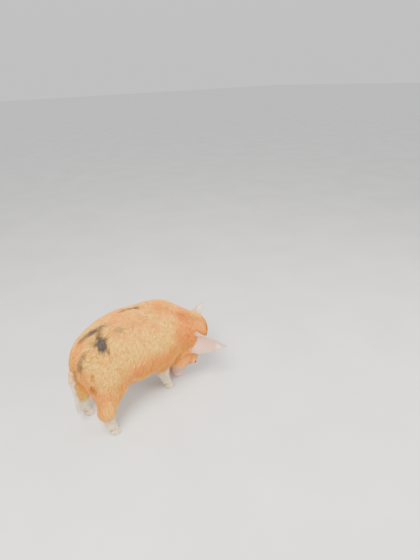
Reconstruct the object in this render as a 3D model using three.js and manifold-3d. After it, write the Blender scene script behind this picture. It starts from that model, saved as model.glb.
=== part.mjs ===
// A young kunekune pig, life size, rooting with its head down and its body bent a little to its right.
// Millimetres. +X runs from rump to shoulders, +Y to the pig's left, +Z up, and the hooves stand on z = 0.
// The flesh is a field of soft masses that melt into each other. Each body part is meshed from that field
// on its own grid and then cut off from its neighbours with a seam of 0.3 mm. Hooves, ears, tail, wattles
// and locks of hair are skinned over rings of points.
import * as THREE from "three";
import { mergeVertices } from "three/addons/utils/BufferGeometryUtils.js";
import Module from "manifold-3d";

const wasm = await Module();
wasm.setup();

// Driving dimensions
const SEAM = 0.3;
const GROWTH = 0.45;
const BACK_HEIGHT = 421;
const BELLY_HEIGHT = 127;
const BODY_WIDTH = 296;
const BODY_HALF_LENGTH = 219;
const BEND_RADIUS = 1100;
const BODY_TURN = 3;
const HIP_S = -168;
const SHOULDER_S = 140;

const HEAD_LENGTH = 240;
const HEAD_POLL = new THREE.Vector3(317, -22, 227);
const SNOUT_TIP = new THREE.Vector3(248, 3, -3);
const FOREHEAD_HEADING = -27;

const EAR_LENGTH = 118;
const EAR_WIDTH = 98;
const EAR_TAPER = 1.3;
const EAR_THICKNESS = 4.5;
const EYE_RADIUS = 11;
const LID_THICKNESS = 2.4;
const EYE_SIDES = 12;
const MOUTH_GAP = 1.8;
const MOUTH_DEPTH = 7;
const NOSTRIL = [12, 4.5, 7];
const NOSTRIL_LEAN = -0.4;
const NOSTRIL_SIDES = 10;
const HOOF_HEIGHT = 21;
const HOOF_WIDTH = 23;
const HOOF_LENGTH = 37;
const DEWCLAW_WIDTH = 15;
const WATTLE_LENGTH = 34;
const TAIL_THICKNESS = 20;
const LOCK_LENGTH = 48;
const LOCK_WIDTH = 30;
const TASSEL_LENGTH = 44;
const TASSEL_WIDTH = 13;
const LOCK_SPACING = 24;
const HAM_LOCKS = 3;
const TASSEL_LOCKS = 8;

// Where each foot stands: x, y and the turn of its toes in degrees
const FEET = {
  hind_right: [-141, -101, 4],
  hind_left: [-190, 54, 6],
  front_right: [146, -10, -8],
  front_left: [172, 80, -6],
};

// Widths of the meshing grids
const TRUNK_CELL = 18.8;
const LEG_CELL = 12;
const HEAD_CELL = 11.2;
const SNOUT_CELL = 9.6;

// How far the block of a leg reaches before and behind its fetlock
const HIND_REACH = 96;
const FRONT_REACH = 74;

// Colour and roughness of each material
const COLOURS = {
  ginger: [0xd98b45, 0.8],
  cream: [0xe6cfa4, 0.8],
  pink: [0xc98f80, 0.7],
  horn: [0xcdb891, 0.45],
  eye: [0x1a120d, 0.1],
};

const { sin, cos, hypot, min, max, abs, sqrt, round, ceil, PI } = Math;
const radians = THREE.MathUtils.degToRad;
const lerp = THREE.MathUtils.lerp;
const clamp = THREE.MathUtils.clamp;
const vec = (x, y, z) => new THREE.Vector3(x, y, z);
const SIDES = [
  ["left", 1],
  ["right", -1],
];

// Places a point of the straight pig on the bent one: s runs along the back, side to the left.
const SPINE_Y = 12;
function onBody(s, side, z) {
  const turn = s / BEND_RADIUS - radians(BODY_TURN);
  const reach = BEND_RADIUS + side;
  const x = reach * sin(turn) + BEND_RADIUS * sin(radians(BODY_TURN));
  const y = reach * cos(turn) - BEND_RADIUS * cos(radians(BODY_TURN)) + SPINE_Y;
  return vec(x, y, z);
}

const headingAt = (s) => radians(BODY_TURN) - s / BEND_RADIUS;
const turnedBy = (axis, angle) => new THREE.Quaternion().setFromAxisAngle(axis, angle);
const bodyTurn = (s, pitch) =>
  turnedBy(vec(0, 0, 1), headingAt(s)).multiply(turnedBy(vec(0, 1, 0), radians(pitch)));

// The head's own axes: x from the poll to the snout, y to its left, z out of the forehead. Its shape is
// drawn on a face 172 mm long and enlarged to the head's length.
const FACE_DRAWN = 172;
const headSize = HEAD_LENGTH / FACE_DRAWN;
const toSnout = SNOUT_TIP.clone().sub(HEAD_POLL).normalize();
const toLeftEar = vec(cos(radians(FOREHEAD_HEADING)), sin(radians(FOREHEAD_HEADING)), 0)
  .cross(toSnout)
  .normalize();
const toForehead = toSnout.clone().cross(toLeftEar);
const headTurn = new THREE.Quaternion().setFromRotationMatrix(
  new THREE.Matrix4().makeBasis(toSnout, toLeftEar, toForehead),
);
const inFace = (x, y, z) => vec(x, y, z).multiplyScalar(headSize).applyQuaternion(headTurn).add(HEAD_POLL);

// A soft mass is a distance to a rounded form, with its reach of melting into the rest.
function egg(centre, radii, blend, turn = new THREE.Quaternion()) {
  const frame = new THREE.Matrix4().compose(centre, turn, vec(1, 1, 1)).invert().elements;
  const [a, b, c] = radii;
  const at = (x, y, z) => {
    const u = frame[0] * x + frame[4] * y + frame[8] * z + frame[12];
    const v = frame[1] * x + frame[5] * y + frame[9] * z + frame[13];
    const w = frame[2] * x + frame[6] * y + frame[10] * z + frame[14];
    const near = hypot(u / a, v / b, w / c);
    const slope = hypot(u / (a * a), v / (b * b), w / (c * c));
    return slope < 1e-9 ? -min(a, b, c) : (near * (near - 1)) / slope;
  };
  return { at, blend };
}

function limb(start, end, startRadius, endRadius, blend) {
  const along = end.clone().sub(start);
  const lengthSquared = along.lengthSq();
  const at = (x, y, z) => {
    const u = x - start.x;
    const v = y - start.y;
    const w = z - start.z;
    const t = clamp((u * along.x + v * along.y + w * along.z) / lengthSquared, 0, 1);
    return hypot(u - t * along.x, v - t * along.y, w - t * along.z) - lerp(startRadius, endRadius, t);
  };
  return { at, blend };
}

function melted(masses) {
  return (x, y, z) => {
    let d = masses[0].at(x, y, z);
    for (let i = 1; i < masses.length; i++) {
      const other = masses[i].at(x, y, z);
      const h = max(masses[i].blend - abs(d - other), 0);
      d = min(d, other) - (h * h) / (4 * masses[i].blend);
    }
    return d;
  };
}

// Trunk: barrel, shoulders and croup, then the thick neck down to the poll
const bodyMiddle = (BACK_HEIGHT + BELLY_HEIGHT) / 2;
const bodyHalfHeight = (BACK_HEIGHT - BELLY_HEIGHT) / 2;
const bodyHalfWidth = BODY_WIDTH / 2;
const neckRoot = onBody(160, 10, bodyMiddle + 12);
const croupTurn = bodyTurn(-118, -8);
const trunk = [
  egg(onBody(10, 0, bodyMiddle), [BODY_HALF_LENGTH, bodyHalfWidth, bodyHalfHeight], 1, bodyTurn(10, 1)),
  egg(onBody(115, 0, bodyMiddle + 4), [118, bodyHalfWidth - 30, bodyHalfHeight - 20], 40, bodyTurn(115, 6)),
  egg(onBody(-118, 0, bodyMiddle - 12), [94, bodyHalfWidth - 42, bodyHalfHeight - 40], 36, croupTurn),
  limb(neckRoot, inFace(0, 0, -30), 109, 78, 50),
];

// Head: cranium, cheeks, brows, muzzle, jaw, lips and the disc of the snout
const head = [egg(inFace(46, 0, -34), [84, 64, 56], 54, headTurn)];
for (const side of [1, -1]) {
  head.push(egg(inFace(72, side * 42, -46), [62, 42, 52], 36, headTurn));
  head.push(egg(inFace(76, side * 34, -4), [32, 22, 18], 20, headTurn));
}
head.push(limb(inFace(80, 0, -34), inFace(122, 0, -38), 62, 42, 26));
head.push(limb(inFace(104, 0, -38), inFace(156, 0, -36), 42, 28, 22));
head.push(limb(inFace(58, 0, -64), inFace(132, 0, -58), 44, 22, 26));
for (const side of [1, -1]) {
  head.push(limb(inFace(100, side * 18, -52), inFace(148, side * 10, -48), 10, 8, 12));
  head.push(limb(inFace(100, side * 16, -63), inFace(138, side * 8, -62), 9, 8, 12));
}
head.push(egg(inFace(163, 0, -36), [9, 31, 28], 8, headTurn));

// Legs: where each joint is, counted from the foot and from the body
const limbs = [];
const legs = Object.entries(FEET).map(([name, [footX, footY, toe]]) => {
  const side = name.endsWith("left") ? 1 : -1;
  const hind = name.startsWith("hind");
  const forward = vec(cos(radians(toe)), sin(radians(toe)), 0);
  const across = vec(-forward.y, forward.x, 0);
  const from = (ahead, left, z) =>
    vec(footX, footY, z).addScaledVector(forward, ahead).addScaledVector(across, left);
  const fetlock = from(-8, 0, 44);
  if (hind) {
    const hip = onBody(HIP_S + 34, side * 62, 236);
    const stifle = onBody(HIP_S + 60, side * 78, 184);
    const hock = from(side > 0 ? 2 : -14, side * 2, 118);
    limbs.push(egg(onBody(HIP_S + 36, side * 64, 216), [74, 52, 92], 34, bodyTurn(HIP_S, -8)));
    limbs.push(limb(stifle, hock, 42, 25, 26));
    limbs.push(limb(hip, hock, 60, 26, 26));
    limbs.push(limb(hock, fetlock, 26, 21, 20));
  } else {
    const elbow = onBody(SHOULDER_S - 18, side * 46, 168);
    const knee = from(-16, side * 2, 84);
    limbs.push(egg(onBody(SHOULDER_S - 18, side * 60, 230), [54, 42, 78], 36, bodyTurn(SHOULDER_S, 10)));
    limbs.push(limb(elbow, knee, 36, 22, 30));
    limbs.push(limb(knee, fetlock, 22, 19, 16));
  }
  for (const toeSide of [1, -1]) limbs.push(limb(fetlock, from(5, toeSide * 10, 14), 17, 12, 10));
  return { name, side, hind, from, across, fetlock, heel: hind ? 25 : 22 };
});

const bodyFlesh = melted([...trunk, ...limbs]);
const headFlesh = melted([...trunk, ...head]);
const faceFlesh = melted(head);

// The slope of a field, and the nearest place on its surface with the way out of the skin
function slopeOf(field, p) {
  const step = 0.1;
  const here = field(p.x, p.y, p.z);
  return vec(
    (field(p.x + step, p.y, p.z) - here) / step,
    (field(p.x, p.y + step, p.z) - here) / step,
    (field(p.x, p.y, p.z + step) - here) / step,
  );
}

function onSkin(field, guess) {
  const at = guess.clone();
  for (let turn = 0; turn < 12; turn++) {
    const slope = slopeOf(field, at);
    at.addScaledVector(slope, -field(at.x, at.y, at.z) / max(slope.lengthSq(), 0.2));
  }
  return { at, out: slopeOf(field, at).normalize() };
}

// The twelve edges of a cube, three of them starting at each cell's corner, as edge numbers of its six
// faces: two edges run along u and two along v, at the low and the high side
const CUBE_FACES = [];
for (let normal = 0; normal < 3; normal++)
  for (let side = 0; side < 2; side++) {
    const u = (normal + 1) % 3;
    const v = (normal + 2) % 3;
    CUBE_FACES.push({
      alongU: [u * 4 + 2 * side, u * 4 + 1 + 2 * side],
      alongV: [v * 4 + side, v * 4 + side + 2],
      corner: (cu, cv) => [0, 1, 2].map((axis) => (axis === normal ? side : axis === u ? cu : cv)),
    });
  }

// Sorts a cube's crossed edges into closed loops, so that two sheets of skin in one cube stay apart.
function loopsOf(crossed, isInside) {
  const loop = crossed.map((_, edge) => edge);
  const join = (a, b) => {
    const [from, to] = [loop[a], loop[b]];
    loop.forEach((value, edge) => {
      if (value === from) loop[edge] = to;
    });
  };
  for (const { alongU, alongV, corner } of CUBE_FACES) {
    const hit = [...alongU, ...alongV].filter((edge) => crossed[edge]);
    if (hit.length === 2) join(...hit);
    if (hit.length < 4) continue;
    for (const cu of [0, 1])
      for (const cv of [0, 1]) if (isInside(...corner(cu, cv))) join(alongU[cv], alongV[cu]);
  }
  return loop;
}

// Meshes a field inside a box on a grid of cubes, with one point for each sheet of skin in a cube.
function meshField(field, box, cell, level = 0) {
  const size = box.getSize(vec(0, 0, 0));
  const [nx, ny, nz] = size.toArray().map((length) => ceil(length / cell) + 1);
  const { min: low, max: high } = box;
  const limit = (x, y, z) =>
    max(low.x - x, x - high.x, low.y - y, y - high.y, low.z - z, z - high.z) + cell * 1.5;
  const g = (x, y, z) => max(field(x, y, z) - level, limit(x, y, z));
  const values = new Float32Array(nx * ny * nz);
  const place = (i, j, k) => [box.min.x + i * cell, box.min.y + j * cell, box.min.z + k * cell];
  const index = (i, j, k) => (k * ny + j) * nx + i;
  const isEdge = (i, j, k) => i * j * k === 0 || i === nx - 1 || j === ny - 1 || k === nz - 1;
  for (let k = 0; k < nz; k++)
    for (let j = 0; j < ny; j++)
      for (let i = 0; i < nx; i++) values[index(i, j, k)] = isEdge(i, j, k) ? cell : g(...place(i, j, k));
  const points = [];
  const pointOf = new Map();
  for (let k = 0; k < nz - 1; k++)
    for (let j = 0; j < ny - 1; j++)
      for (let i = 0; i < nx - 1; i++) {
        const crossed = [];
        for (let edge = 0; edge < 12; edge++) {
          const axis = edge >> 2;
          const a = [i, j, k];
          a[(axis + 1) % 3] += edge & 1;
          a[(axis + 2) % 3] += (edge >> 1) & 1;
          const b = [...a];
          b[axis] += 1;
          const fa = values[index(...a)];
          const fb = values[index(...b)];
          crossed.push(null);
          if (fa < 0 === fb < 0) continue;
          crossed[edge] = place(...a);
          crossed[edge][axis] += (cell * fa) / (fa - fb);
        }
        if (!crossed.some(Boolean)) continue;
        const loop = loopsOf(crossed, (di, dj, dk) => values[index(i + di, j + dj, k + dk)] < 0);
        for (const name of new Set(loop.filter((_, edge) => crossed[edge]))) {
          const every = crossed.map((_, edge) => edge);
          const members = every.filter((edge) => crossed[edge] && loop[edge] === name);
          const sum = [0, 1, 2].map((c) => members.reduce((total, edge) => total + crossed[edge][c], 0));
          for (const edge of members) pointOf.set(index(i, j, k) * 12 + edge, points.length);
          points.push(ontoLevel(g, sum.map((c) => c / members.length), cell));
        }
      }
  const faces = [];
  for (let k = 1; k < nz - 1; k++)
    for (let j = 1; j < ny - 1; j++)
      for (let i = 1; i < nx - 1; i++)
        for (let axis = 0; axis < 3; axis++) {
          const a = [i, j, k];
          const b = [...a];
          b[axis] += 1;
          const inside = values[index(...a)] < 0;
          if (inside === values[index(...b)] < 0) continue;
          const corner = (du, dv) => {
            const c = [...a];
            c[(axis + 1) % 3] -= du;
            c[(axis + 2) % 3] -= dv;
            return pointOf.get(index(...c) * 12 + axis * 4 + du + 2 * dv);
          };
          const ring = [corner(1, 1), corner(0, 1), corner(0, 0), corner(1, 0)];
          if (!inside) ring.reverse();
          faces.push(ring[0], ring[1], ring[2], ring[0], ring[2], ring[3]);
        }
  return solid(points.flat(), faces);
}

// Moves a point along the field's slope until it lies on the surface, but stays in its cube.
function ontoLevel(g, start, cell) {
  const step = 0.02 * cell;
  let point = start;
  for (let turn = 0; turn < 4; turn++) {
    const value = g(...point);
    const slope = [0, 1, 2].map((c) => {
      const probe = [...point];
      probe[c] += step;
      return (g(...probe) - value) / step;
    });
    const squared = max(slope[0] ** 2 + slope[1] ** 2 + slope[2] ** 2, 0.2);
    point = point.map((c, i) => c - (value * slope[i]) / squared);
  }
  return point.map((c, i) => clamp(c, start[i] - cell * 0.45, start[i] + cell * 0.45));
}

// A manifold-3d solid from flat lists, from three.js geometry, and back to three.js geometry
function solid(positions, indices) {
  const mesh = new wasm.Mesh({
    numProp: 3,
    vertProperties: new Float32Array(positions),
    triVerts: new Uint32Array(indices),
  });
  return new wasm.Manifold(mesh);
}

function solidOf(geometry, matrix = new THREE.Matrix4()) {
  const bare = geometry.clone().applyMatrix4(matrix);
  for (const name of ["normal", "uv"]) bare.deleteAttribute(name);
  const merged = mergeVertices(bare, 1e-3);
  return solid(merged.attributes.position.array, merged.index.array);
}

function geometryOf(made) {
  const mesh = made.getMesh();
  const geometry = new THREE.BufferGeometry();
  geometry.setAttribute("position", new THREE.BufferAttribute(new Float32Array(mesh.vertProperties), 3));
  geometry.setIndex(new THREE.BufferAttribute(new Uint32Array(mesh.triVerts), 1));
  geometry.computeVertexNormals();
  return geometry;
}

const fused = (solids) => solids.reduce((all, next) => all.add(next));
const largest = (made) => made.decompose().sort((a, b) => b.volume() - a.volume())[0];

// Skins a solid over rings of points, all with the same count, and closes both ends.
function skinned(rings) {
  const count = rings[0].length;
  const points = rings.flat();
  const faces = [];
  const at = (ring, i) => ring * count + (i % count);
  for (let ring = 0; ring < rings.length - 1; ring++)
    for (let i = 0; i < count; i++) {
      faces.push(at(ring, i), at(ring, i + 1), at(ring + 1, i + 1));
      faces.push(at(ring, i), at(ring + 1, i + 1), at(ring + 1, i));
    }
  for (const [ring, order] of [[0, [0, 2, 1]], [rings.length - 1, [0, 1, 2]]]) {
    points.push(rings[ring].reduce((sum, p) => sum.add(p), vec(0, 0, 0)).divideScalar(count));
    const middle = points.length - 1;
    for (let i = 0; i < count; i++) {
      const face = [middle, at(ring, i), at(ring, i + 1)];
      faces.push(...order.map((corner) => face[corner]));
    }
  }
  const made = solid(points.flatMap((p) => p.toArray()), faces);
  return made.volume() > 0 ? made : solid(points.flatMap((p) => p.toArray()), faces.reverse());
}

// A round or oval stem along a curve: radiusAt gives its two half widths at each step from 0 to 1.
function stem(curve, radiusAt, flatWay, steps, count) {
  const rings = [];
  for (let i = 0; i <= steps; i++) {
    const t = i / steps;
    const along = curve.getTangentAt(t);
    const wide = flatWay.clone().cross(along).normalize();
    const thick = along.clone().cross(wide);
    const [a, b] = radiusAt(t);
    const middle = curve.getPointAt(t);
    const ring = [];
    for (let j = 0; j < count; j++) {
      const turn = (2 * PI * j) / count;
      ring.push(middle.clone().addScaledVector(wide, a * cos(turn)).addScaledVector(thick, b * sin(turn)));
    }
    rings.push(ring);
  }
  return skinned(rings);
}

// A flat lock of hair with a ridge, from a root on the skin: it starts inside, lies along the skin the way
// the hair grows there and falls away from it towards its tip.
const LOCK_SUNK = 5;
const LOCK_FLATNESS = 0.3;
function lock(root, way, fall, length, width) {
  const lie = way.clone().addScaledVector(root.out, -way.dot(root.out)).normalize();
  const start = root.at.clone().addScaledVector(root.out, -LOCK_SUNK).addScaledVector(lie, -LOCK_SUNK);
  const middle = root.at.clone().addScaledVector(lie, length * 0.45).addScaledVector(root.out, 2);
  const end = middle.clone().addScaledVector(lie, length * 0.35).addScaledVector(fall, length * 0.3);
  const curve = new THREE.CatmullRomCurve3([start, middle, end]);
  const half = (t) => max(width * 0.5 * (1 - t) ** 0.7 * (0.8 + 0.5 * t), 0.5);
  return stem(curve, (t) => [half(t), max(half(t) * LOCK_FLATNESS, 0.5)], root.out, 3, 3);
}

// A repeatable draw between 0 and 1 for the nth lock
const drawn = (n) => (sin(n * 12.9898 + 4.1) * 43758.5453) % 1;
const vary = (n, spread) => 1 + spread * drawn(n);

// A box between two corners, in a turned and placed frame, and a half of space past a plane
function block(low, high, frame = new THREE.Matrix4()) {
  const size = high.clone().sub(low);
  const middle = low.clone().add(high).multiplyScalar(0.5);
  const geometry = new THREE.BoxGeometry(size.x, size.y, size.z).translate(middle.x, middle.y, middle.z);
  return solidOf(geometry, frame);
}

function past(plane, gap = 0) {
  const turn = new THREE.Quaternion().setFromUnitVectors(vec(1, 0, 0), plane.out);
  const place = plane.at.clone().addScaledVector(plane.out, gap);
  const frame = new THREE.Matrix4().compose(place, turn, vec(1, 1, 1));
  const reach = 800;
  return block(vec(0, -reach, -reach), vec(reach, reach, reach), frame);
}

function ball(centre, radii, turn, segments) {
  const frame = new THREE.Matrix4().compose(centre, turn, vec(...radii));
  return solidOf(new THREE.SphereGeometry(1, segments, round(segments * 0.7)), frame);
}

const box = (x0, y0, z0, x1, y1, z1) => new THREE.Box3(vec(x0, y0, z0), vec(x1, y1, z1));

const pig = new THREE.Group();
const paint = Object.fromEntries(
  Object.entries(COLOURS).map(([name, [color, roughness]]) => [
    name,
    new THREE.MeshStandardMaterial({ name, color, roughness, metalness: 0 }),
  ]),
);

function add(name, made, material) {
  const mesh = new THREE.Mesh(geometryOf(largest(made)), paint[material]);
  mesh.name = name;
  pig.add(mesh);
}

// Where the parts are cut apart
const neckCut = { at: vec(238, 0, 0), out: vec(0.985, -0.17, 0).normalize() };
const headCut = { at: vec(296, -5, 330), out: vec(0.83, -0.12, -0.55).normalize() };
const snoutCut = { at: inFace(120, 0, -40), out: toSnout };

// The block that holds a leg below its cut at the elbow or stifle, which rises towards the outside
function legBlock(leg, gap = 0) {
  const between = leg.hind ? -27 : 27;
  const height = leg.hind ? 132 : 126;
  const tilt = radians(leg.hind ? 24 : 20);
  const walls = [between + leg.side * (2 - gap), between + leg.side * 190].sort((a, b) => a - b);
  const reach = (leg.hind ? HIND_REACH : FRONT_REACH) + gap;
  const low = vec(leg.fetlock.x - reach, walls[0], -30);
  const high = vec(leg.fetlock.x + reach, walls[1], 260);
  const top = { at: vec(leg.fetlock.x, between, height), out: vec(0, -leg.side * sin(tilt), cos(tilt)) };
  return block(low, high).subtract(past(top, gap));
}

// Eyes: each sits in a socket under a ball of lid that is fused on the head and opened by an almond
const eyes = SIDES.map(([name, side]) => {
  const seat = onSkin(headFlesh, inFace(80, side * 48, -2));
  return { name, centre: seat.at.clone().addScaledVector(seat.out, -EYE_RADIUS * 0.42), out: seat.out };
});

function almond({ centre, out }) {
  const half = EYE_RADIUS * 0.88;
  const outline = new THREE.Shape();
  outline.moveTo(-half, 0);
  outline.quadraticCurveTo(0, EYE_RADIUS * 1.05, half, 0);
  outline.quadraticCurveTo(0, -EYE_RADIUS * 0.85, -half, 0);
  const shape = { depth: EYE_RADIUS * 2, bevelEnabled: false, curveSegments: 5 };
  const prism = new THREE.ExtrudeGeometry(outline, shape);
  const along = toSnout.clone().addScaledVector(out, -toSnout.dot(out)).normalize();
  const frame = new THREE.Matrix4().makeBasis(along, out.clone().cross(along), out);
  return solidOf(prism, frame.setPosition(centre));
}

// Mouth: a thin sheet bent along the lips, which cuts only the outer few millimetres of the muzzle
function mouthSheet() {
  const line = new THREE.QuadraticBezierCurve3(vec(94, 0, -64), vec(122, 0, -54), vec(176, 0, -59));
  const steps = 8;
  const half = MOUTH_GAP / 2 / headSize;
  const reach = 50;
  const rings = [];
  for (let i = 0; i <= steps; i++) {
    const p = line.getPoint(i / steps);
    rings.push([
      inFace(p.x, -reach, p.z - half),
      inFace(p.x, reach, p.z - half),
      inFace(p.x, reach, p.z + half),
      inFace(p.x, -reach, p.z + half),
    ]);
  }
  return skinned(rings);
}

// The box that a leg is meshed in
function legBox(leg) {
  const { x } = leg.fetlock;
  return leg.side > 0 ? box(x - 130, -70, -20, x + 140, 200, 260) : box(x - 130, -200, -20, x + 140, 70, 260);
}

// Torso
const trunkBox = box(-300, -220, -30, 420, 220, 460);
const torsoGrown = meshField(bodyFlesh, trunkBox, TRUNK_CELL, GROWTH);
const chest = torsoGrown.subtract(past(neckCut));
let torso = meshField(bodyFlesh, trunkBox, TRUNK_CELL).subtract(past(neckCut, -SEAM / 2));
for (const leg of legs) torso = torso.subtract(legBlock(leg, SEAM));

// Fringe under each flank, locks behind the hams and on the brisket
const backward = vec(-1, 0, 0);
const downward = vec(0, 0, -1);
const fringe = [];
for (const [name, side] of SIDES) {
  const legNamed = (wanted) => legs.find((leg) => leg.name === wanted);
  const [hindLeg, frontLeg] = [legNamed(`hind_${name}`), legNamed(`front_${name}`)];
  const rear = hindLeg.fetlock.x + HIND_REACH + LOCK_LENGTH;
  const front = frontLeg.fetlock.x - FRONT_REACH - LOCK_WIDTH;
  const count = round((front - rear) / LOCK_SPACING);
  for (let i = 0; i <= count; i++) {
    const along = lerp(rear, front, i / count);
    const root = onSkin(bodyFlesh, onBody(along, side * (78 + 16 * drawn(i + 3)), 130));
    const way = backward.clone().multiplyScalar(1.3).add(downward);
    fringe.push(lock(root, way, downward, LOCK_LENGTH * vary(i, 0.2), LOCK_WIDTH * vary(i + 9, 0.15)));
  }
}
for (const [, side] of SIDES)
  for (let i = 0; i < HAM_LOCKS; i++) {
    const height = lerp(222, 274, i / (HAM_LOCKS - 1));
    const root = onSkin(bodyFlesh, onBody(HIP_S - 62, side * (50 + 10 * drawn(i + 20)), height));
    fringe.push(lock(root, downward, downward, LOCK_LENGTH * vary(i + 30, 0.2), LOCK_WIDTH));
  }
torso = fused([torso, ...fringe]);
add("torso", torso, "ginger");

// Head and snout
const headBox = box(110, -150, -15, 430, 170, 400);
const headGrown = meshField(headFlesh, headBox, HEAD_CELL, GROWTH);
const mouth = mouthSheet().subtract(meshField(headFlesh, headBox, TRUNK_CELL, -MOUTH_DEPTH));
let skull = meshField(headFlesh, headBox, HEAD_CELL);
for (const eye of eyes) {
  const lid = ball(eye.centre, Array(3).fill(EYE_RADIUS + LID_THICKNESS), headTurn, EYE_SIDES);
  skull = skull.add(lid).subtract(almond(eye));
}
for (const eye of eyes) {
  skull = skull.subtract(ball(eye.centre, Array(3).fill(EYE_RADIUS + SEAM), headTurn, EYE_SIDES));
}
const frontLegs = legs.filter((leg) => !leg.hind);
const beside = frontLegs.map((leg) => {
  return meshField(bodyFlesh, legBox(leg), LEG_CELL, GROWTH).intersect(legBlock(leg, SEAM));
});
const tuckedUnder = fused([chest, ...beside]);
skull = skull.intersect(past(headCut, SEAM / 2)).subtract(tuckedUnder);
add("head", skull.subtract(past(snoutCut, -SEAM / 2)).subtract(mouth), "ginger");
for (const eye of eyes) {
  add(`eye_${eye.name}`, ball(eye.centre, Array(3).fill(EYE_RADIUS), headTurn, EYE_SIDES), "eye");
}

const snoutBox = box(140, -60, -15, 320, 110, 150);
let snout = meshField(faceFlesh, snoutBox, SNOUT_CELL).intersect(past(snoutCut, SEAM / 2)).subtract(mouth);
for (const [, side] of SIDES) {
  const leaning = headTurn.clone().multiply(turnedBy(vec(1, 0, 0), side * NOSTRIL_LEAN));
  snout = snout.subtract(ball(inFace(170, side * 8, -36), NOSTRIL, leaning, NOSTRIL_SIDES));
}
add("snout", snout, "pink");

// Neck
const neckBox = box(190, -170, 60, 420, 170, 430);
const neckGrown = meshField(headFlesh, neckBox, TRUNK_CELL, GROWTH);
const neck = meshField(headFlesh, neckBox, TRUNK_CELL);
add("neck", neck.intersect(past(neckCut, SEAM / 2)).subtract(past(headCut, -SEAM / 2)), "ginger");

// Ears: leaves that are rolled into a cup at the root and open towards the tip
function ear(side, tip, faces) {
  const seat = onSkin(headFlesh, inFace(10, side * 60, -6));
  const root = seat.at.clone().addScaledVector(seat.out, -14);
  const toTip = tip.clone().sub(seat.at);
  const length = EAR_LENGTH;
  const bend = faces.clone().multiplyScalar(-length * 0.1);
  const reached = seat.at.clone().addScaledVector(toTip.clone().normalize(), length);
  const middle = seat.at.clone().lerp(reached, 0.5).add(bend);
  const spine = new THREE.CatmullRomCurve3([root, seat.at, middle, reached]);
  const across = toTip.clone().cross(faces).normalize();
  const rows = 10;
  const columns = 6;
  const shell = [1, -1].map((face) => {
    const grid = [];
    for (let i = 0; i <= rows; i++) {
      const t = i / rows;
      const along = spine.getTangentAt(t);
      const open = across.clone().cross(along).normalize();
      const wide = EAR_WIDTH * (1 - t ** EAR_TAPER) + 1.5;
      const roll = lerp(1.1, 0.3, min(t * 1.8, 1));
      const radius = wide / (2 * roll);
      const thick = (EAR_THICKNESS * lerp(1, 0.45, t)) / 2;
      const row = [];
      for (let j = 0; j <= columns; j++) {
        const turn = roll * ((2 * j) / columns - 1);
        const r = radius + face * thick;
        row.push(
          spine
            .getPointAt(t)
            .clone()
            .addScaledVector(across, r * sin(turn))
            .addScaledVector(open, r * cos(turn) - radius),
        );
      }
      grid.push(row);
    }
    return grid;
  });
  return closedShell(shell);
}

// Closes two like grids of points, an outer and an inner face, into one solid split alike on both faces.
function closedShell([outer, inner]) {
  const rows = outer.length - 1;
  const columns = outer[0].length - 1;
  const width = columns + 1;
  const points = [...outer.flat(), ...inner.flat()];
  const inside = (rows + 1) * width;
  const at = (i, j) => i * width + j;
  const faces = [];
  for (let i = 0; i < rows; i++)
    for (let j = 0; j < columns; j++) {
      const [a, b, c, d] = [at(i, j), at(i, j + 1), at(i + 1, j + 1), at(i + 1, j)];
      faces.push(a, b, c, a, c, d);
      faces.push(inside + a, inside + c, inside + b, inside + a, inside + d, inside + c);
    }
  const rim = [];
  for (let j = 0; j < columns; j++) rim.push(at(0, j));
  for (let i = 0; i < rows; i++) rim.push(at(i, columns));
  for (let j = columns; j > 0; j--) rim.push(at(rows, j));
  for (let i = rows; i > 0; i--) rim.push(at(i, 0));
  rim.forEach((a, k) => {
    const b = rim[(k + 1) % rim.length];
    faces.push(b, a, inside + a, b, inside + a, inside + b);
  });
  const flat = points.flatMap((p) => p.toArray());
  const made = solid(flat, faces);
  return made.volume() > 0 ? made : solid(flat, faces.reverse());
}

const EARS = {
  right: { tip: vec(366, -129, 184), faces: vec(0.39, 0.9, -0.2) },
  left: { tip: vec(432, 116, 256), faces: vec(0.5, -0.6, 0.6) },
};
for (const [name, side] of SIDES) {
  const { tip, faces } = EARS[name];
  const leaf = ear(side, tip, faces.clone().normalize());
  add(`ear_${name}`, leaf.subtract(headGrown).subtract(neckGrown), "pink");
}

// Wattles: two soft drops that hang from the jaw
for (const [name, side] of SIDES) {
  const seat = onSkin(headFlesh, inFace(96, side * 30, -62));
  const hang = new THREE.CatmullRomCurve3([
    seat.at.clone().addScaledVector(seat.out, -8),
    seat.at.clone().addScaledVector(seat.out, 5),
    seat.at.clone().addScaledVector(seat.out, 8).add(vec(0, 0, -WATTLE_LENGTH)),
  ]);

  const swell = (t) => 3.4 + 3.4 * sin(PI * min(t * 0.62 + 0.2, 1)) - 3.4 * t ** 6;
  const drop = stem(hang, (t) => [swell(t), swell(t)], vec(1, 0, 0), 6, 7);
  add(`wattle_${name}`, drop.subtract(headGrown).subtract(torsoGrown), "pink");
}

// Tail: it hangs close behind the hams
const tailLine = new THREE.CatmullRomCurve3([
  vec(-196, 4, 276),
  vec(-220, 4, 258),
  vec(-229, 4, 225),
  vec(-228, 3, 175),
  vec(-225, 3, 135),
  vec(-224, 3, 108),
]);
const tailRadius = (t) => (TAIL_THICKNESS / 2) * lerp(1.1, 0.55, t);
let tail = stem(tailLine, (t) => [tailRadius(t), tailRadius(t)], vec(1, 0, 0), 10, 7).subtract(torsoGrown);
for (let i = 0; i < TASSEL_LOCKS; i++) {
  const t = lerp(0.62, 0.97, i / (TASSEL_LOCKS - 1));
  const turn = i * 2.4;
  const out = vec(cos(turn), sin(turn), 0);
  const root = { at: tailLine.getPointAt(t).addScaledVector(out, tailRadius(t) * 0.8), out };
  const flick = vec(-0.5, 0.1, -0.8);
  tail = tail.add(lock(root, downward, flick, TASSEL_LENGTH * vary(i + 40, 0.15), TASSEL_WIDTH));
}
add("tail", tail, "cream");

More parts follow.
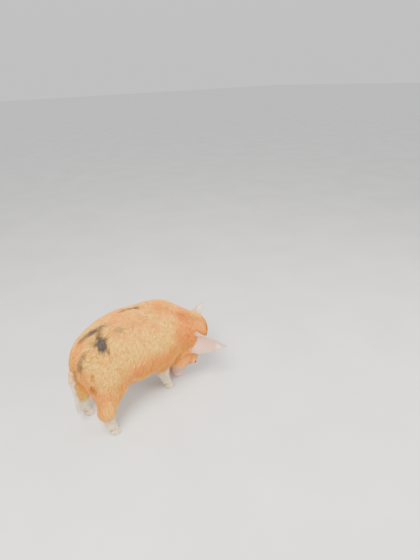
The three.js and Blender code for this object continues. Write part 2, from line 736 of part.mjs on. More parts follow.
// Legs
const coronet = { at: vec(0, 0, HOOF_HEIGHT + SEAM), out: vec(0, 0, 1) };
for (const leg of legs) {
  const shank = meshField(bodyFlesh, legBox(leg), LEG_CELL).intersect(legBlock(leg)).intersect(past(coronet));
  add(`leg_${leg.name}`, shank, leg.hind ? "ginger" : "cream");
  const grown = meshField(bodyFlesh, legBox(leg), LEG_CELL, GROWTH * 1.6);
  for (const [place, toeSide] of [["left", 1], ["right", -1]]) {
    const line = new THREE.CatmullRomCurve3([
      leg.from(-14, toeSide * 9, 52),
      leg.from(-leg.heel + 2, toeSide * 13, 44),
      leg.from(-leg.heel - 5, toeSide * 15, 30),
    ]);
    const width = (t) => (DEWCLAW_WIDTH / 2) * (1 - 0.72 * t ** 2);
    const claw = stem(line, (t) => [width(t), width(t)], leg.across, 3, 6).subtract(grown);
    add(`dewclaw_${leg.name}_${place}`, claw, "horn");
  }
}

// Hooves: two toes on each foot, each a teardrop on its flat sole, and two dew claws behind the fetlock
function hoof(leg, toeSide) {
  const ring = (z, grow, lean) => {
    const points = [];
    const count = 10;
    for (let j = 0; j < count; j++) {
      const turn = (2 * PI * j) / count;
      const point = cos(turn) > 0 ? 1 + 0.16 * cos(turn) : 1;
      const ahead = (HOOF_LENGTH / 2) * cos(turn) * point * grow + lean;
      const left = (HOOF_WIDTH / 2) * sin(turn) * grow * (1 - 0.24 * max(cos(turn), 0) ** 2);
      points.push(leg.from(ahead + 4, toeSide * 12.5 + left * toeSide, z));
    }
    return toeSide > 0 ? points : points.reverse();
  };
  const top = HOOF_HEIGHT;
  return skinned([ring(0, 0.94, 1.5), ring(3, 1, 1), ring(top * 0.6, 0.95, -2.5), ring(top, 0.86, -5.5)]);
}

for (const leg of legs) {
  for (const [place, toeSide] of [["left", 1], ["right", -1]]) {
    add(`hoof_${leg.name}_${place}`, hoof(leg, toeSide), "horn");
  }
}

const bounds = new THREE.Box3().setFromObject(pig);
const middle = bounds.getCenter(vec(0, 0, 0));
pig.position.set(-middle.x, -middle.y, 0);

export default pig;
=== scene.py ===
# A life-size young kunekune pig in Blender: skin, coat, hooves, eyes and light over a packed CAD model.

# %% [markdown]
# The CAD model of the pig is already made and packed. It fixes the size, the pose and the outline.
# This lesson dresses it: a smooth skin inside the solids, a coat of many small tufts on the skin,
# hooves and eyes in place of the plain ones, and the light and camera of the picture.

import math

import bmesh
import bpy
import numpy as np
from mathutils import Matrix, Vector


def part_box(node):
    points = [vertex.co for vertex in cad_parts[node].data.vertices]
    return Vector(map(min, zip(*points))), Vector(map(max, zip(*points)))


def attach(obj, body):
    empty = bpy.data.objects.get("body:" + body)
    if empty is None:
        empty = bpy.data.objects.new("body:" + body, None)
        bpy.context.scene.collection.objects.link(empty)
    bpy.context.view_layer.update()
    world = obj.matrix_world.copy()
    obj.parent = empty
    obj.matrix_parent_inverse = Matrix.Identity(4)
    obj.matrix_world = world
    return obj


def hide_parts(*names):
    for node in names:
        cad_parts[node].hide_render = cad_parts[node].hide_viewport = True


SEED = 11
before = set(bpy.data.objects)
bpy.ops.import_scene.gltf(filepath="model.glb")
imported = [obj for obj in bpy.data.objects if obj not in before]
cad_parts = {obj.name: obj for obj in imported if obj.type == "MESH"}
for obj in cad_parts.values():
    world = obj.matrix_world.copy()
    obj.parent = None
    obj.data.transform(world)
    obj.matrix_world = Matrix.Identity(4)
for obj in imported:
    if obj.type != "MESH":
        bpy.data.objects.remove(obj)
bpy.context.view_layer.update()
rng = np.random.default_rng(SEED)

# %% [markdown]
# A pig walks on two hoof halves a foot. Each half is drawn as a stack of rings: round at the heel, pointed
# at the toe, and leaning forward. A place on a foot is told by how far ahead, left and up it lies.

# %% Hooves as rings of points
HOOF_HEIGHT = 0.021
HOOF_WIDTH = 0.023
HOOF_LENGTH = 0.037
HOOF_AHEAD = 0.004
HOOF_APART = 0.0125
TOE_POINT = 0.16
TOE_NARROW = 0.24
FEET = {
    "hind_right": (-0.141, -0.101, 4),
    "hind_left": (-0.190, 0.054, 6),
    "front_right": (0.146, -0.010, -8),
    "front_left": (0.172, 0.080, -6),
}
HOOF_STEPS = np.array([0, 0.003, 0.6 * HOOF_HEIGHT, HOOF_HEIGHT])
HOOF_GROW = np.array([0.94, 1, 0.95, 0.86])
HOOF_LEAN = np.array([0.0015, 0.001, -0.0025, -0.0055])


def circle(count):
    return np.arange(count) * 2 * math.pi / count


def from_foot(foot, ahead, left, z):
    x, y, toe = FEET[foot]
    cos, sin = math.cos(math.radians(toe)), math.sin(math.radians(toe))
    across = x + ahead * cos - left * sin, y + ahead * sin + left * cos
    return np.stack(np.broadcast_arrays(*across, z), -1)


def hoof_ring(foot, toe_side, z, count, ripple=0.0):
    grow = np.interp(z, HOOF_STEPS, HOOF_GROW) + ripple
    lean = np.interp(z, HOOF_STEPS, HOOF_LEAN)
    turn = circle(count)
    point = np.where(np.cos(turn) > 0, 1 + TOE_POINT * np.cos(turn), 1)
    ahead = HOOF_LENGTH / 2 * np.cos(turn) * point * grow + lean
    left = HOOF_WIDTH / 2 * np.sin(turn) * grow * (1 - TOE_NARROW * np.maximum(np.cos(turn), 0) ** 2)
    return from_foot(foot, ahead + HOOF_AHEAD, toe_side * (HOOF_APART + left), z)


print("feet", len(FEET), "hoof halves", 2 * len(FEET))

# %% [markdown]
# The pig was drawn in its own frame, with +X from rump to shoulders, and then moved so that its box is
# centred. A hoof is the same in both, so drawing one again and comparing it with the packed hoof gives
# the move. All later places are written in the pig's own frame, in metres, and moved by it.

# %% From the pig's own frame to the packed one
CAD_HOOF_POINTS = 10


def packed_box(node):
    return [np.array(corner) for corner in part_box(node)]


drawn = np.concatenate([hoof_ring("hind_right", 1, z, CAD_HOOF_POINTS) for z in HOOF_STEPS])
MOVE = packed_box("hoof_hind_right_left")[0] - drawn.min(0)
MOVE[2] = 0


def own_box(node):
    return [corner - MOVE for corner in packed_box(node)]


print("the pig's frame is moved by", MOVE.round(4))

# %% [markdown]
# The flesh is a field: for any point it gives the distance to the nearest soft mass, below zero inside.
# Egg shapes make the barrel, head and thighs, and tapered limbs make the neck, muzzle and legs. Where
# two come close they melt together. These are the very forms of the CAD model, so the skin fits it.

# %% Soft masses
TINY = 1e-9
LEAST_SLOPE = 1e-6


def egg(centre, radii, blend, turn=np.eye(3)):
    centre, radii = np.array(centre), np.array(radii)

    def reach(p):
        q = (p - centre) @ turn
        near = np.linalg.norm(q / radii, axis=1)
        slope = np.linalg.norm(q / radii**2, axis=1)
        return near * (near - 1) / np.maximum(slope, LEAST_SLOPE)

    return reach, blend


def limb(start, end, start_radius, end_radius, blend):
    start, along = np.array(start), np.array(end) - np.array(start)

    def reach(p):
        t = np.clip((p - start) @ along / (along @ along), 0, 1)
        from_axis = np.linalg.norm(p - start - t[:, None] * along, axis=1)
        return from_axis - start_radius - (end_radius - start_radius) * t

    return reach, blend


def melt(d, masses, p):
    for reach, blend in masses:
        other = reach(p)
        if d is None:
            d = other
            continue
        h = np.maximum(blend - np.abs(d - other), 0)
        d = np.minimum(d, other) - h * h / (4 * blend)
    return d


# %% Small helpers for directions and soft steps
def unit(v):
    v = np.asarray(v, float)
    return v / np.maximum(np.linalg.norm(v, axis=-1, keepdims=True), TINY)


def smooth(x, low, high):
    t = np.clip((x - low) / (high - low), 0, 1)
    return t * t * (3 - 2 * t)


print("a soft step from 0 to 1 is at", smooth(0.25, 0, 1), "a quarter of the way")

# %% [markdown]
# The barrel bends a little to the pig's right, so its masses are placed along a wide arc: s is the way
# along the spine, side the way to the left, z the height. A kunekune is short and deep, with the back
# arched over the belly.

# %% The bent body
BACK_HEIGHT = 0.421
BELLY_HEIGHT = 0.127
HALF_WIDTH = 0.148
HALF_LENGTH = 0.219
BEND_RADIUS = 1.1
BODY_TURN = math.radians(3)
SPINE_Y = 0.012
HIP_S = -0.168
SHOULDER_S = 0.140
MIDDLE = (BACK_HEIGHT + BELLY_HEIGHT) / 2
HALF_HEIGHT = (BACK_HEIGHT - BELLY_HEIGHT) / 2


def on_body(s, side, z):
    turn = s / BEND_RADIUS - BODY_TURN
    reach = BEND_RADIUS + side
    x = reach * math.sin(turn) + BEND_RADIUS * math.sin(BODY_TURN)
    y = reach * math.cos(turn) - BEND_RADIUS * math.cos(BODY_TURN) + SPINE_Y
    return np.array([x, y, z])


def body_turn(s, pitch):
    yaw = Matrix.Rotation(BODY_TURN - s / BEND_RADIUS, 3, "Z")
    return np.array(yaw @ Matrix.Rotation(math.radians(pitch), 3, "Y"))


print("the body is", round(BACK_HEIGHT - BELLY_HEIGHT, 3), "deep and", 2 * HALF_WIDTH, "wide")

# %% [markdown]
# The head hangs from the poll, between the ears, to the tip of the snout. It has a frame of its own:
# x runs down the face, y to the pig's left and z out of the forehead. Its unit is a 172nd of the head.

# %% The head's own frame
HEAD_LENGTH = 0.240
POLL = np.array([0.317, -0.022, 0.227])
SNOUT_TIP = np.array([0.248, 0.003, -0.003])
FOREHEAD_HEADING = math.radians(-27)
FACE_UNIT = HEAD_LENGTH / 172
to_snout = unit(SNOUT_TIP - POLL)
to_left = unit(np.cross([math.cos(FOREHEAD_HEADING), math.sin(FOREHEAD_HEADING), 0], to_snout))
to_forehead = np.cross(to_snout, to_left)
HEAD = np.stack([to_snout, to_left, to_forehead], 1)


def in_face(x, y, z):
    return POLL + HEAD @ (np.array([x, y, z]) * FACE_UNIT)


def face_of(p):
    return (p - POLL) @ HEAD / FACE_UNIT


print("the head points", to_snout.round(2), "and the forehead faces", to_forehead.round(2))

# %% [markdown]
# Three eggs make the trunk: the barrel, the shoulders and the rump. One thick limb is the neck, which in a
# kunekune is as heavy as the head. The head is a round skull with full cheeks, a brow over each eye, a
# short upturned muzzle, lips and the flat disc of the snout.

# %% Trunk and neck
shoulder_radii = (0.118, HALF_WIDTH - 0.030, HALF_HEIGHT - 0.020)
rump_radii = (0.094, HALF_WIDTH - 0.042, HALF_HEIGHT - 0.040)
neck_root, neck_end = on_body(0.160, 0.010, MIDDLE + 0.012), in_face(0, 0, -30)
trunk = [
    egg(on_body(0.010, 0, MIDDLE), (HALF_LENGTH, HALF_WIDTH, HALF_HEIGHT), 0.001, body_turn(0.010, 1)),
    egg(on_body(0.115, 0, MIDDLE + 0.004), shoulder_radii, 0.040, body_turn(0.115, 6)),
    egg(on_body(-0.118, 0, MIDDLE - 0.012), rump_radii, 0.036, body_turn(-0.118, -8)),
    limb(neck_root, neck_end, 0.109, 0.078, 0.050),
]
print("the neck is", round(np.linalg.norm(neck_end - neck_root), 3), "long")

# %% Head
head = [egg(in_face(46, 0, -34), (0.084, 0.064, 0.056), 0.054, HEAD)]
for side in (1, -1):
    head.append(egg(in_face(72, side * 42, -46), (0.062, 0.042, 0.052), 0.036, HEAD))
    head.append(egg(in_face(76, side * 34, -4), (0.032, 0.022, 0.018), 0.020, HEAD))
head.append(limb(in_face(80, 0, -34), in_face(122, 0, -38), 0.062, 0.042, 0.026))
head.append(limb(in_face(104, 0, -38), in_face(156, 0, -36), 0.042, 0.028, 0.022))
head.append(limb(in_face(58, 0, -64), in_face(132, 0, -58), 0.044, 0.022, 0.026))
for side in (1, -1):
    head.append(limb(in_face(100, side * 18, -52), in_face(148, side * 10, -48), 0.010, 0.008, 0.012))
    head.append(limb(in_face(100, side * 16, -63), in_face(138, side * 8, -62), 0.009, 0.008, 0.012))
head.append(egg(in_face(163, 0, -36), (0.009, 0.031, 0.028), 0.008, HEAD))
print("masses in the head", len(head))

# %% [markdown]
# A leg is a few limbs end to end, from hip or elbow to the fetlock, with a ham or shoulder round its top
# and two short toes that end in the hooves.

# %% Legs
FETLOCK_HEIGHT = 0.044
HOCK_HEIGHT = 0.118
KNEE_HEIGHT = 0.084


def hind_leg(foot, side, fetlock):
    hip = on_body(HIP_S + 0.034, side * 0.062, 0.236)
    stifle = on_body(HIP_S + 0.060, side * 0.078, 0.184)
    hock = from_foot(foot, 0.002 if side > 0 else -0.014, side * 0.002, HOCK_HEIGHT)
    ham = on_body(HIP_S + 0.036, side * 0.064, 0.216)
    return [
        egg(ham, (0.074, 0.052, 0.092), 0.034, body_turn(HIP_S, -8)),
        limb(stifle, hock, 0.042, 0.025, 0.026),
        limb(hip, hock, 0.060, 0.026, 0.026),
        limb(hock, fetlock, 0.026, 0.021, 0.020),
    ]


def front_leg(foot, side, fetlock):
    elbow = on_body(SHOULDER_S - 0.018, side * 0.046, 0.168)
    knee = from_foot(foot, -0.016, side * 0.002, KNEE_HEIGHT)
    shoulder = on_body(SHOULDER_S - 0.018, side * 0.060, 0.230)
    return [
        egg(shoulder, (0.054, 0.042, 0.078), 0.036, body_turn(SHOULDER_S, 10)),
        limb(elbow, knee, 0.036, 0.022, 0.030),
        limb(knee, fetlock, 0.022, 0.019, 0.016),
    ]


limbs = []
for foot in FEET:
    side = 1 if foot.endswith("left") else -1
    fetlock = from_foot(foot, -0.008, 0, FETLOCK_HEIGHT)
    limbs += (hind_leg if foot.startswith("hind") else front_leg)(foot, side, fetlock)
    for toe_side in (1, -1):
        limbs.append(limb(fetlock, from_foot(foot, 0.005, toe_side * 0.010, 0.014), 0.017, 0.012, 0.010))
print("masses in all", len(trunk) + len(head) + len(limbs))

# %% [markdown]
# The tail is a cord of flesh close behind the hams and the wattles are two soft drops under the jaw. Both
# are chains of thin limbs. The wattles' places are read from the packed nodes.

# %% Tail and wattles
TAIL_POINTS = np.array(
    [
        [-0.196, 0.004, 0.276],
        [-0.220, 0.004, 0.258],
        [-0.229, 0.004, 0.225],
        [-0.228, 0.003, 0.175],
        [-0.225, 0.003, 0.110],
    ]
)
TAIL_RADII = [0.010, 0.0085, 0.0065, 0.005, 0.003]
TAIL_BLEND = 0.006
tail = []
for i in range(len(TAIL_POINTS) - 1):
    tail.append(limb(TAIL_POINTS[i], TAIL_POINTS[i + 1], TAIL_RADII[i], TAIL_RADII[i + 1], TAIL_BLEND))
wattles = []
for name in ("wattle_left", "wattle_right"):
    low, high = own_box(name)
    across = (high - low)[:2].mean() / 2
    middle = (low + high) / 2
    top = np.array([middle[0], middle[1], high[2]])
    bottom = np.array([middle[0], middle[1], low[2] + across])
    wattles.append(limb(top, bottom, across * 0.45, across * 0.8, 0.004))
    print(name, "hangs at", bottom.round(3))

# %% [markdown]
# The coat takes up the outer millimetres of the solids, so the skin lies below them by the coat's depth:
# most on the body, little on the lower legs and face, and almost nothing on the bare snout.

# %% How deep the skin lies
BODY_DEPTH = 0.0085
FOREHEAD_DEPTH = 0.0045
FACE_DEPTH = 0.0022
SNOUT_DEPTH = 0.0006
LEG_DEPTH = 0.0026
SOLE_CUT = 0.0185


def head_share(body, skull):
    return smooth(body - skull, -0.010, 0.030)


def coat_depth(p, share):
    leg = smooth(p[:, 2], 0.165, 0.085)
    depth = BODY_DEPTH + (LEG_DEPTH - BODY_DEPTH) * leg
    along = face_of(p)[:, 0]
    face = FOREHEAD_DEPTH + (FACE_DEPTH - FOREHEAD_DEPTH) * smooth(along, 30, 100)
    face = face + (SNOUT_DEPTH - face) * smooth(along, 120, 152)
    return depth + (face - depth) * share


print("the coat is", BODY_DEPTH, "deep on the body and", FACE_DEPTH, "on the face")

# %% [markdown]
# Each eye keeps the place of its packed node. The field tells which way is out of the head there, which
# gives the eye a frame of its own: along the face, up and out.

# %% Eyes' places
EYE_RADIUS = 0.011
EYE_STEP = 0.001
eyes = []
for name in ("eye_left", "eye_right"):
    low, high = own_box(name)
    centre = (low + high) / 2
    step = EYE_STEP * np.eye(3)
    around = np.concatenate([centre + step, centre - step])
    values = melt(melt(None, trunk, around), head, around)
    out = unit(values[:3] - values[3:])
    along = unit(to_snout - out * (to_snout @ out))
    up = np.cross(out, along)
    up = up if up @ to_forehead > 0 else -up
    eyes.append({"name": name, "centre": centre, "axes": np.stack([along, up, out], 1)})
    print(name, centre.round(3), "looks", out.round(2))

# %% [markdown]
# Fine forms of the face are cut into the same field, in the head's units. The mouth is a groove along a
# curve. Wrinkles cross the short muzzle where it is pushed up, and the chin has softer ones. The nostrils
# are two ovals in the disc of the snout.

# %% Mouth, wrinkles and nostrils
MOUTH = np.array([[94, -64], [122, -54], [176, -59]])
MOUTH_DEEP, MOUTH_WIDE = 0.0034, 1.3
WRINKLE_DEEP, WRINKLE_EVERY, WRINKLE_BOW = 0.0009, 8.5, 0.012
CHIN_DEEP, CHIN_EVERY, CHIN_LEAN = 0.0006, 11, 0.3
NOSTRIL = np.array([170, 8.5, -36])
NOSTRIL_RADII = (8.5, 3.6, 5.2)
NOSTRIL_LEAN = 0.25
NOSTRIL_SCALE = 0.005


def mouth_height(x):
    t = np.linspace(0, 1, 24)
    weights = np.stack([(1 - t) ** 2, 2 * t * (1 - t), t**2], 1)
    curve = weights[:, :1] * MOUTH[0] + weights[:, 1:2] * MOUTH[1] + weights[:, 2:] * MOUTH[2]
    return np.interp(x, curve[:, 0], curve[:, 1])


def muzzle_details(p, d):
    x, y, z = face_of(p).T
    groove = np.exp(-(((z - mouth_height(x)) / MOUTH_WIDE) ** 2)) * smooth(x, 90, 98)
    d = d + MOUTH_DEEP * groove
    top = smooth(z, -34, -22)
    wrinkle = np.sin((x + WRINKLE_BOW * y * y) * 2 * math.pi / WRINKLE_EVERY)
    d = d + WRINKLE_DEEP * wrinkle * top * smooth(x, 104, 116) * smooth(x, 158, 152)
    chin = np.sin((x - CHIN_LEAN * z) * 2 * math.pi / CHIN_EVERY)
    d = d + CHIN_DEEP * chin * smooth(x, 60, 80) * smooth(x, 130, 110) * smooth(z, -30, -60)
    wide, narrow, high = NOSTRIL_RADII
    for side in (1, -1):
        height = z - NOSTRIL[2]
        from_middle = y - side * NOSTRIL[1] - side * NOSTRIL_LEAN * height
        q = np.stack([(x - NOSTRIL[0]) / wide, from_middle / narrow, height / high], 1)
        d = np.maximum(d, -(np.linalg.norm(q, axis=1) - 1) * NOSTRIL_SCALE)
    return d


print("the mouth ends at height", mouth_height(MOUTH[2, 0]).round(1), "of the face")

# %% [markdown]
# An eye sits in a ball of lid that melts into the face, with folds round it that aren't quite even. The
# socket is opened as an almond and hollowed for the eyeball.

# %% Eye sockets
LID_HALF = 0.0098
LID_UPPER = 0.0056
LID_LOWER = 0.0046
LID_BALL = 0.0015
SOCKET_BLEND = 0.008
SOCKET_PLAY = 0.0004
SLOT_DEEP = 0.0006
EYE_FOLDS = ((0.0165, 0.0013, 0.0012), (0.0215, 0.0011, 0.0014), (0.0275, 0.0007, 0.0018))
FOLD_UNEVEN = 0.4
FOLD_SHIFT = 900


def socket(p, d, eye):
    a, b, c = ((p - eye["centre"]) @ eye["axes"]).T
    away = np.sqrt(a * a + b * b + c * c)
    ball = away - EYE_RADIUS - LID_BALL
    h = np.maximum(SOCKET_BLEND - np.abs(d - ball), 0)
    d = np.minimum(d, ball) - h * h / (4 * SOCKET_BLEND)
    ring = np.sqrt((a * 0.8) ** 2 + (b * 1.05) ** 2)
    front = smooth(c, -0.004, 0.004)
    for radius, deep, wide in EYE_FOLDS:
        uneven = 1 + FOLD_UNEVEN * np.sin(3 * np.arctan2(b, a) + radius * FOLD_SHIFT)
        d = d + deep * uneven * front * np.exp(-(((ring - radius) / wide) ** 2))
    open_height = np.where(b > 0, LID_UPPER, LID_LOWER)
    slot = (1 - np.sqrt((a / LID_HALF) ** 2 + (b / open_height) ** 2)) * LID_LOWER
    d = np.where(c > 0, np.maximum(d, slot - SLOT_DEEP), d)
    return np.maximum(d, EYE_RADIUS + SOCKET_PLAY - away)


print("the eye opens", 2 * LID_HALF, "wide and", LID_UPPER + LID_LOWER, "high")

# %% [markdown]
# The skin's field puts it all together: the melted masses, sunk by the coat's depth, cut off flat inside
# the hooves, with tail and wattles added at their full size and the face's details near the head only.

# %% The skin's field
FACE_REACH = 0.03


def skin_field(p):
    base = melt(None, trunk, p)
    body = melt(base, limbs, p)
    face = melt(base, head, p)
    skull = melt(None, head, p)
    share = head_share(body, skull)
    d = np.minimum(body, face) + coat_depth(p, share)
    d = np.maximum(d, SOLE_CUT - p[:, 2])
    d = melt(d, tail + wattles, p)
    near = skull < FACE_REACH
    if near.any():
        details = muzzle_details(p[near], d[near])
        for eye in eyes:
            details = socket(p[near], details, eye)
        d[near] = details
    return d


def in_chunks(field, p, size=120000):
    return np.concatenate([field(p[i : i + size]) for i in range(0, len(p), size)])


print("at the middle of the body the skin is", -skin_field(on_body(0, 0, MIDDLE)[None])[0].round(3), "away")

# %% [markdown]
# The field becomes a mesh with surface nets. A grid of cubes is laid over the pig, and each cube that the
# skin passes through gets one point. Only cubes near the skin are measured finely, which saves time.

# %% Measure the field on a grid
CELL = 0.0028
BLOCK = 4
NEAR_CELLS = 6


def measured(field, low, high):
    count = np.ceil((high - low) / (CELL * BLOCK)).astype(int)
    axes = [low[a] + (np.arange(count[a]) + 0.5) * CELL * BLOCK for a in range(3)]
    centres = np.stack(np.meshgrid(*axes, indexing="ij"), -1).reshape(-1, 3)
    coarse = in_chunks(field, centres)
    steps = np.arange(BLOCK) - (BLOCK - 1) / 2
    offsets = np.stack(np.meshgrid(steps, steps, steps, indexing="ij"), -1).reshape(-1, 3) * CELL
    values = np.repeat(coarse[:, None], BLOCK**3, 1)
    near = np.abs(coarse) < NEAR_CELLS * CELL
    fine = (centres[near][:, None] + offsets).reshape(-1, 3)
    values[near] = in_chunks(field, fine).reshape(-1, BLOCK**3)
    shaped = values.reshape(*count, BLOCK, BLOCK, BLOCK).transpose(0, 3, 1, 4, 2, 5)
    return shaped.reshape(count * BLOCK), low + CELL / 2


BOX_LOW = np.array([-0.262, -0.172, -0.006])
BOX_HIGH = np.array([0.400, 0.180, 0.440])
grid, grid_origin = measured(skin_field, BOX_LOW, BOX_HIGH)
print("grid", grid.shape)

# %% [markdown]
# A cube's point is the mean of the places where the skin crosses its edges. Every grid line that crosses
# the skin then gets a face of four: the points of the four cubes round that line.

# %% Points and faces of the net
def edge_crossings(values, cubes, corners):
    places, hits = np.zeros((len(cubes), 3)), np.zeros(len(cubes))
    for corner in corners:
        for axis in range(3):
            if corner[axis]:
                continue
            first = cubes + corner
            second = first + np.eye(3, dtype=int)[axis]
            a, b = values[tuple(first.T)], values[tuple(second.T)]
            cross = (a < 0) != (b < 0)
            point = first[cross].astype(float)
            point[:, axis] += a[cross] / (a[cross] - b[cross])
            places[cross] += point
            hits[cross] += 1
    return CELL * places / hits[:, None]


def faces_across(inside, number, axis):
    u, v = (axis + 1) % 3, (axis + 2) % 3
    shift = np.eye(3, dtype=int)
    limit = np.array(inside.shape) - 1
    start = tuple(slice(1, limit[a]) if a != axis else slice(0, limit[a]) for a in range(3))
    end = tuple(slice(1, limit[a]) if a != axis else slice(1, limit[a] + 1) for a in range(3))
    at = np.argwhere(inside[start] != inside[end]) + np.where(np.arange(3) == axis, 0, 1)
    loops = [at - shift[u] - shift[v], at - shift[v], at, at - shift[u]]
    ring = np.stack([number[tuple(loop.T)] for loop in loops], 1)
    outward = inside[tuple(at.T)]
    ring[~outward] = ring[~outward][:, ::-1]
    return ring


def surface_net(values, origin):
    inside = values < 0
    size = np.array(values.shape) - 1
    total = np.zeros(size, np.int8)
    corners = [(a, b, c) for a in (0, 1) for b in (0, 1) for c in (0, 1)]
    for a, b, c in corners:
        total += inside[a : a + size[0], b : b + size[1], c : c + size[2]]
    active = (total > 0) & (total < len(corners))
    cubes = np.argwhere(active)
    number = np.full(size, -1, np.int64)
    number[active] = np.arange(len(cubes))
    quads = [faces_across(inside, number, axis) for axis in range(3)]
    return origin + edge_crossings(values, cubes, corners), np.concatenate(quads)


skin_points, skin_quads = surface_net(grid, grid_origin)
print("skin points", len(skin_points), "faces", len(skin_quads))

# %% [markdown]
# The net's points lie near the skin, not on it. Each is pushed along the field's slope until the field is
# nearly zero there, never by more than about half a cube.

# %% Settle the points on the skin
SLOPE_STEP = 0.0003
SLOPE_FLOOR = 0.3
MOST_PUSH = 0.45


def slope(field, p, step=SLOPE_STEP):
    here = in_chunks(field, p)
    parts = [(in_chunks(field, p + step * e) - here) / step for e in np.eye(3)]
    return here, np.stack(parts, 1)


def settled(field, p, turns=2):
    for _ in range(turns):
        here, steep = slope(field, p)
        squared = np.maximum((steep**2).sum(1), SLOPE_FLOOR)
        push = -(here / squared)[:, None] * steep
        reach = np.linalg.norm(push, axis=1)
        p = p + push * np.minimum(1, MOST_PUSH * CELL / np.maximum(reach, TINY))[:, None]
    return p


skin_points = settled(skin_field, skin_points)
print("settled, the skin reaches from", skin_points.min(0).round(3), "to", skin_points.max(0).round(3))

# %% [markdown]
# The face needs finer steps than the flanks, so its faces are split once and settled on the field again.

# %% A mesh from arrays
def new_mesh(name, points, faces):
    mesh = bpy.data.meshes.new(name)
    lengths = np.array([len(face) for face in faces])
    flat = np.concatenate([np.asarray(face) for face in faces])
    mesh.vertices.add(len(points))
    mesh.vertices.foreach_set("co", np.asarray(points, np.float32).ravel())
    mesh.loops.add(len(flat))
    mesh.loops.foreach_set("vertex_index", flat.astype(np.int32))
    mesh.polygons.add(len(lengths))
    mesh.polygons.foreach_set("loop_start", (np.cumsum(lengths) - lengths).astype(np.int32))
    mesh.polygons.foreach_set("loop_total", lengths.astype(np.int32))
    mesh.polygons.foreach_set("use_smooth", np.ones(len(lengths), bool))
    mesh.update(calc_edges=True)
    mesh.validate()
    return mesh


skin_mesh = new_mesh("skin", skin_points, skin_quads)
print("faces of the plain skin", len(skin_mesh.polygons))

# %% Finer face
FACE_FROM = 30
SPLIT_REACH = 0.012
work = bmesh.new()
work.from_mesh(skin_mesh)
work.verts.ensure_lookup_table()
past_forehead = smooth(face_of(skin_points)[:, 0], FACE_FROM, FACE_FROM + 1)
fine = past_forehead * (melt(None, head, skin_points) < SPLIT_REACH)
chosen = [e for e in work.edges if fine[e.verts[0].index] > 0.5 and fine[e.verts[1].index] > 0.5]
bmesh.ops.subdivide_edges(work, edges=chosen, cuts=1, use_grid_fill=True)
bmesh.ops.triangulate(work, faces=[f for f in work.faces if len(f.verts) > 4])
work.to_mesh(skin_mesh)
work.free()
points = np.empty(len(skin_mesh.vertices) * 3, np.float32)
skin_mesh.vertices.foreach_get("co", points)
skin_points = settled(skin_field, points.reshape(-1, 3).astype(float), 2)
skin_faces = [tuple(polygon.vertices) for polygon in skin_mesh.polygons]
bpy.data.meshes.remove(skin_mesh)
print("after splitting the face", len(skin_points), "points,", len(skin_faces), "faces")

# %% [markdown]
# A pricked ear is a thin leaf of skin, rolled into a cup at the root and opening towards the tip. The right
# one points forward and to the right over the eye, and the left one stands up. A curve through four places
# gives each ear its spine: inside the head, at its seat, half way and at the tip.

# %% A smooth curve through places
CURVE_STEPS = 200
LOOK_AHEAD = 0.02


def through(points, t):
    # t goes from 0 to 1 along the curve's length
    knots = np.vstack([2 * points[0] - points[1], points, 2 * points[-1] - points[-2]])
    u = np.linspace(0, len(points) - 1 - TINY, CURVE_STEPS)
    i = u.astype(int)
    f = (u - i)[:, None]
    a, b, c, d = knots[i], knots[i + 1], knots[i + 2], knots[i + 3]
    curve = 0.5 * (2 * b + (c - a) * f + (2 * a - 5 * b + 4 * c - d) * f**2 + (3 * b - a - 3 * c + d) * f**3)
    length = np.concatenate([[0], np.cumsum(np.linalg.norm(np.diff(curve, axis=0), axis=1))])
    length /= length[-1]

    def at(share):
        return np.stack([np.interp(share, length, curve[:, k]) for k in range(3)], -1)

    return at(t), unit(at(np.minimum(t + LOOK_AHEAD, 1)) - at(np.maximum(t - LOOK_AHEAD, 0)))


print("a curve is measured in", CURVE_STEPS, "steps")

# %% The seat of an ear on the head
EAR_SEAT = (10, 60, -6)
SEAT_TURNS = 8


def head_field(p):
    return melt(melt(None, trunk, p), head, p)


def ear_seat(side):
    x, y, z = EAR_SEAT
    seat = in_face(x, side * y, z)[None]
    for _ in range(SEAT_TURNS):
        here, steep = slope(head_field, seat)
        seat = seat - (here / np.maximum((steep**2).sum(1), SLOPE_FLOOR))[:, None] * steep
    return seat[0], unit(slope(head_field, seat)[1])[0]


print("the right ear sits at", ear_seat(-1)[0].round(3))

# %% [markdown]
# The leaf is two like grids of points a few millimetres apart. Across the leaf the points lie on an arc,
# which is what rolls it. Fine veins and a wavy rim keep it from looking cut out of a sheet.

# %% One ear leaf
EAR_LENGTH = 0.118
EAR_WIDTH = 0.098
EAR_TAPER = 1.3
EAR_TIP_WIDTH = 0.0015
EAR_THICKNESS = 0.0040
EAR_SUNK = 0.014
EAR_BOW = 0.1
EAR_ROLL_ROOT, EAR_ROLL_TIP, EAR_UNROLL = 1.1, 0.3, 1.8
VEIN_DEEP = 0.0005
RIM_WAVE = 0.0022
EAR_ROWS = 46
EAR_COLUMNS = 30
down_the_ear = np.linspace(0, 1, EAR_ROWS + 1)
across_the_ear = np.linspace(-1, 1, EAR_COLUMNS + 1)


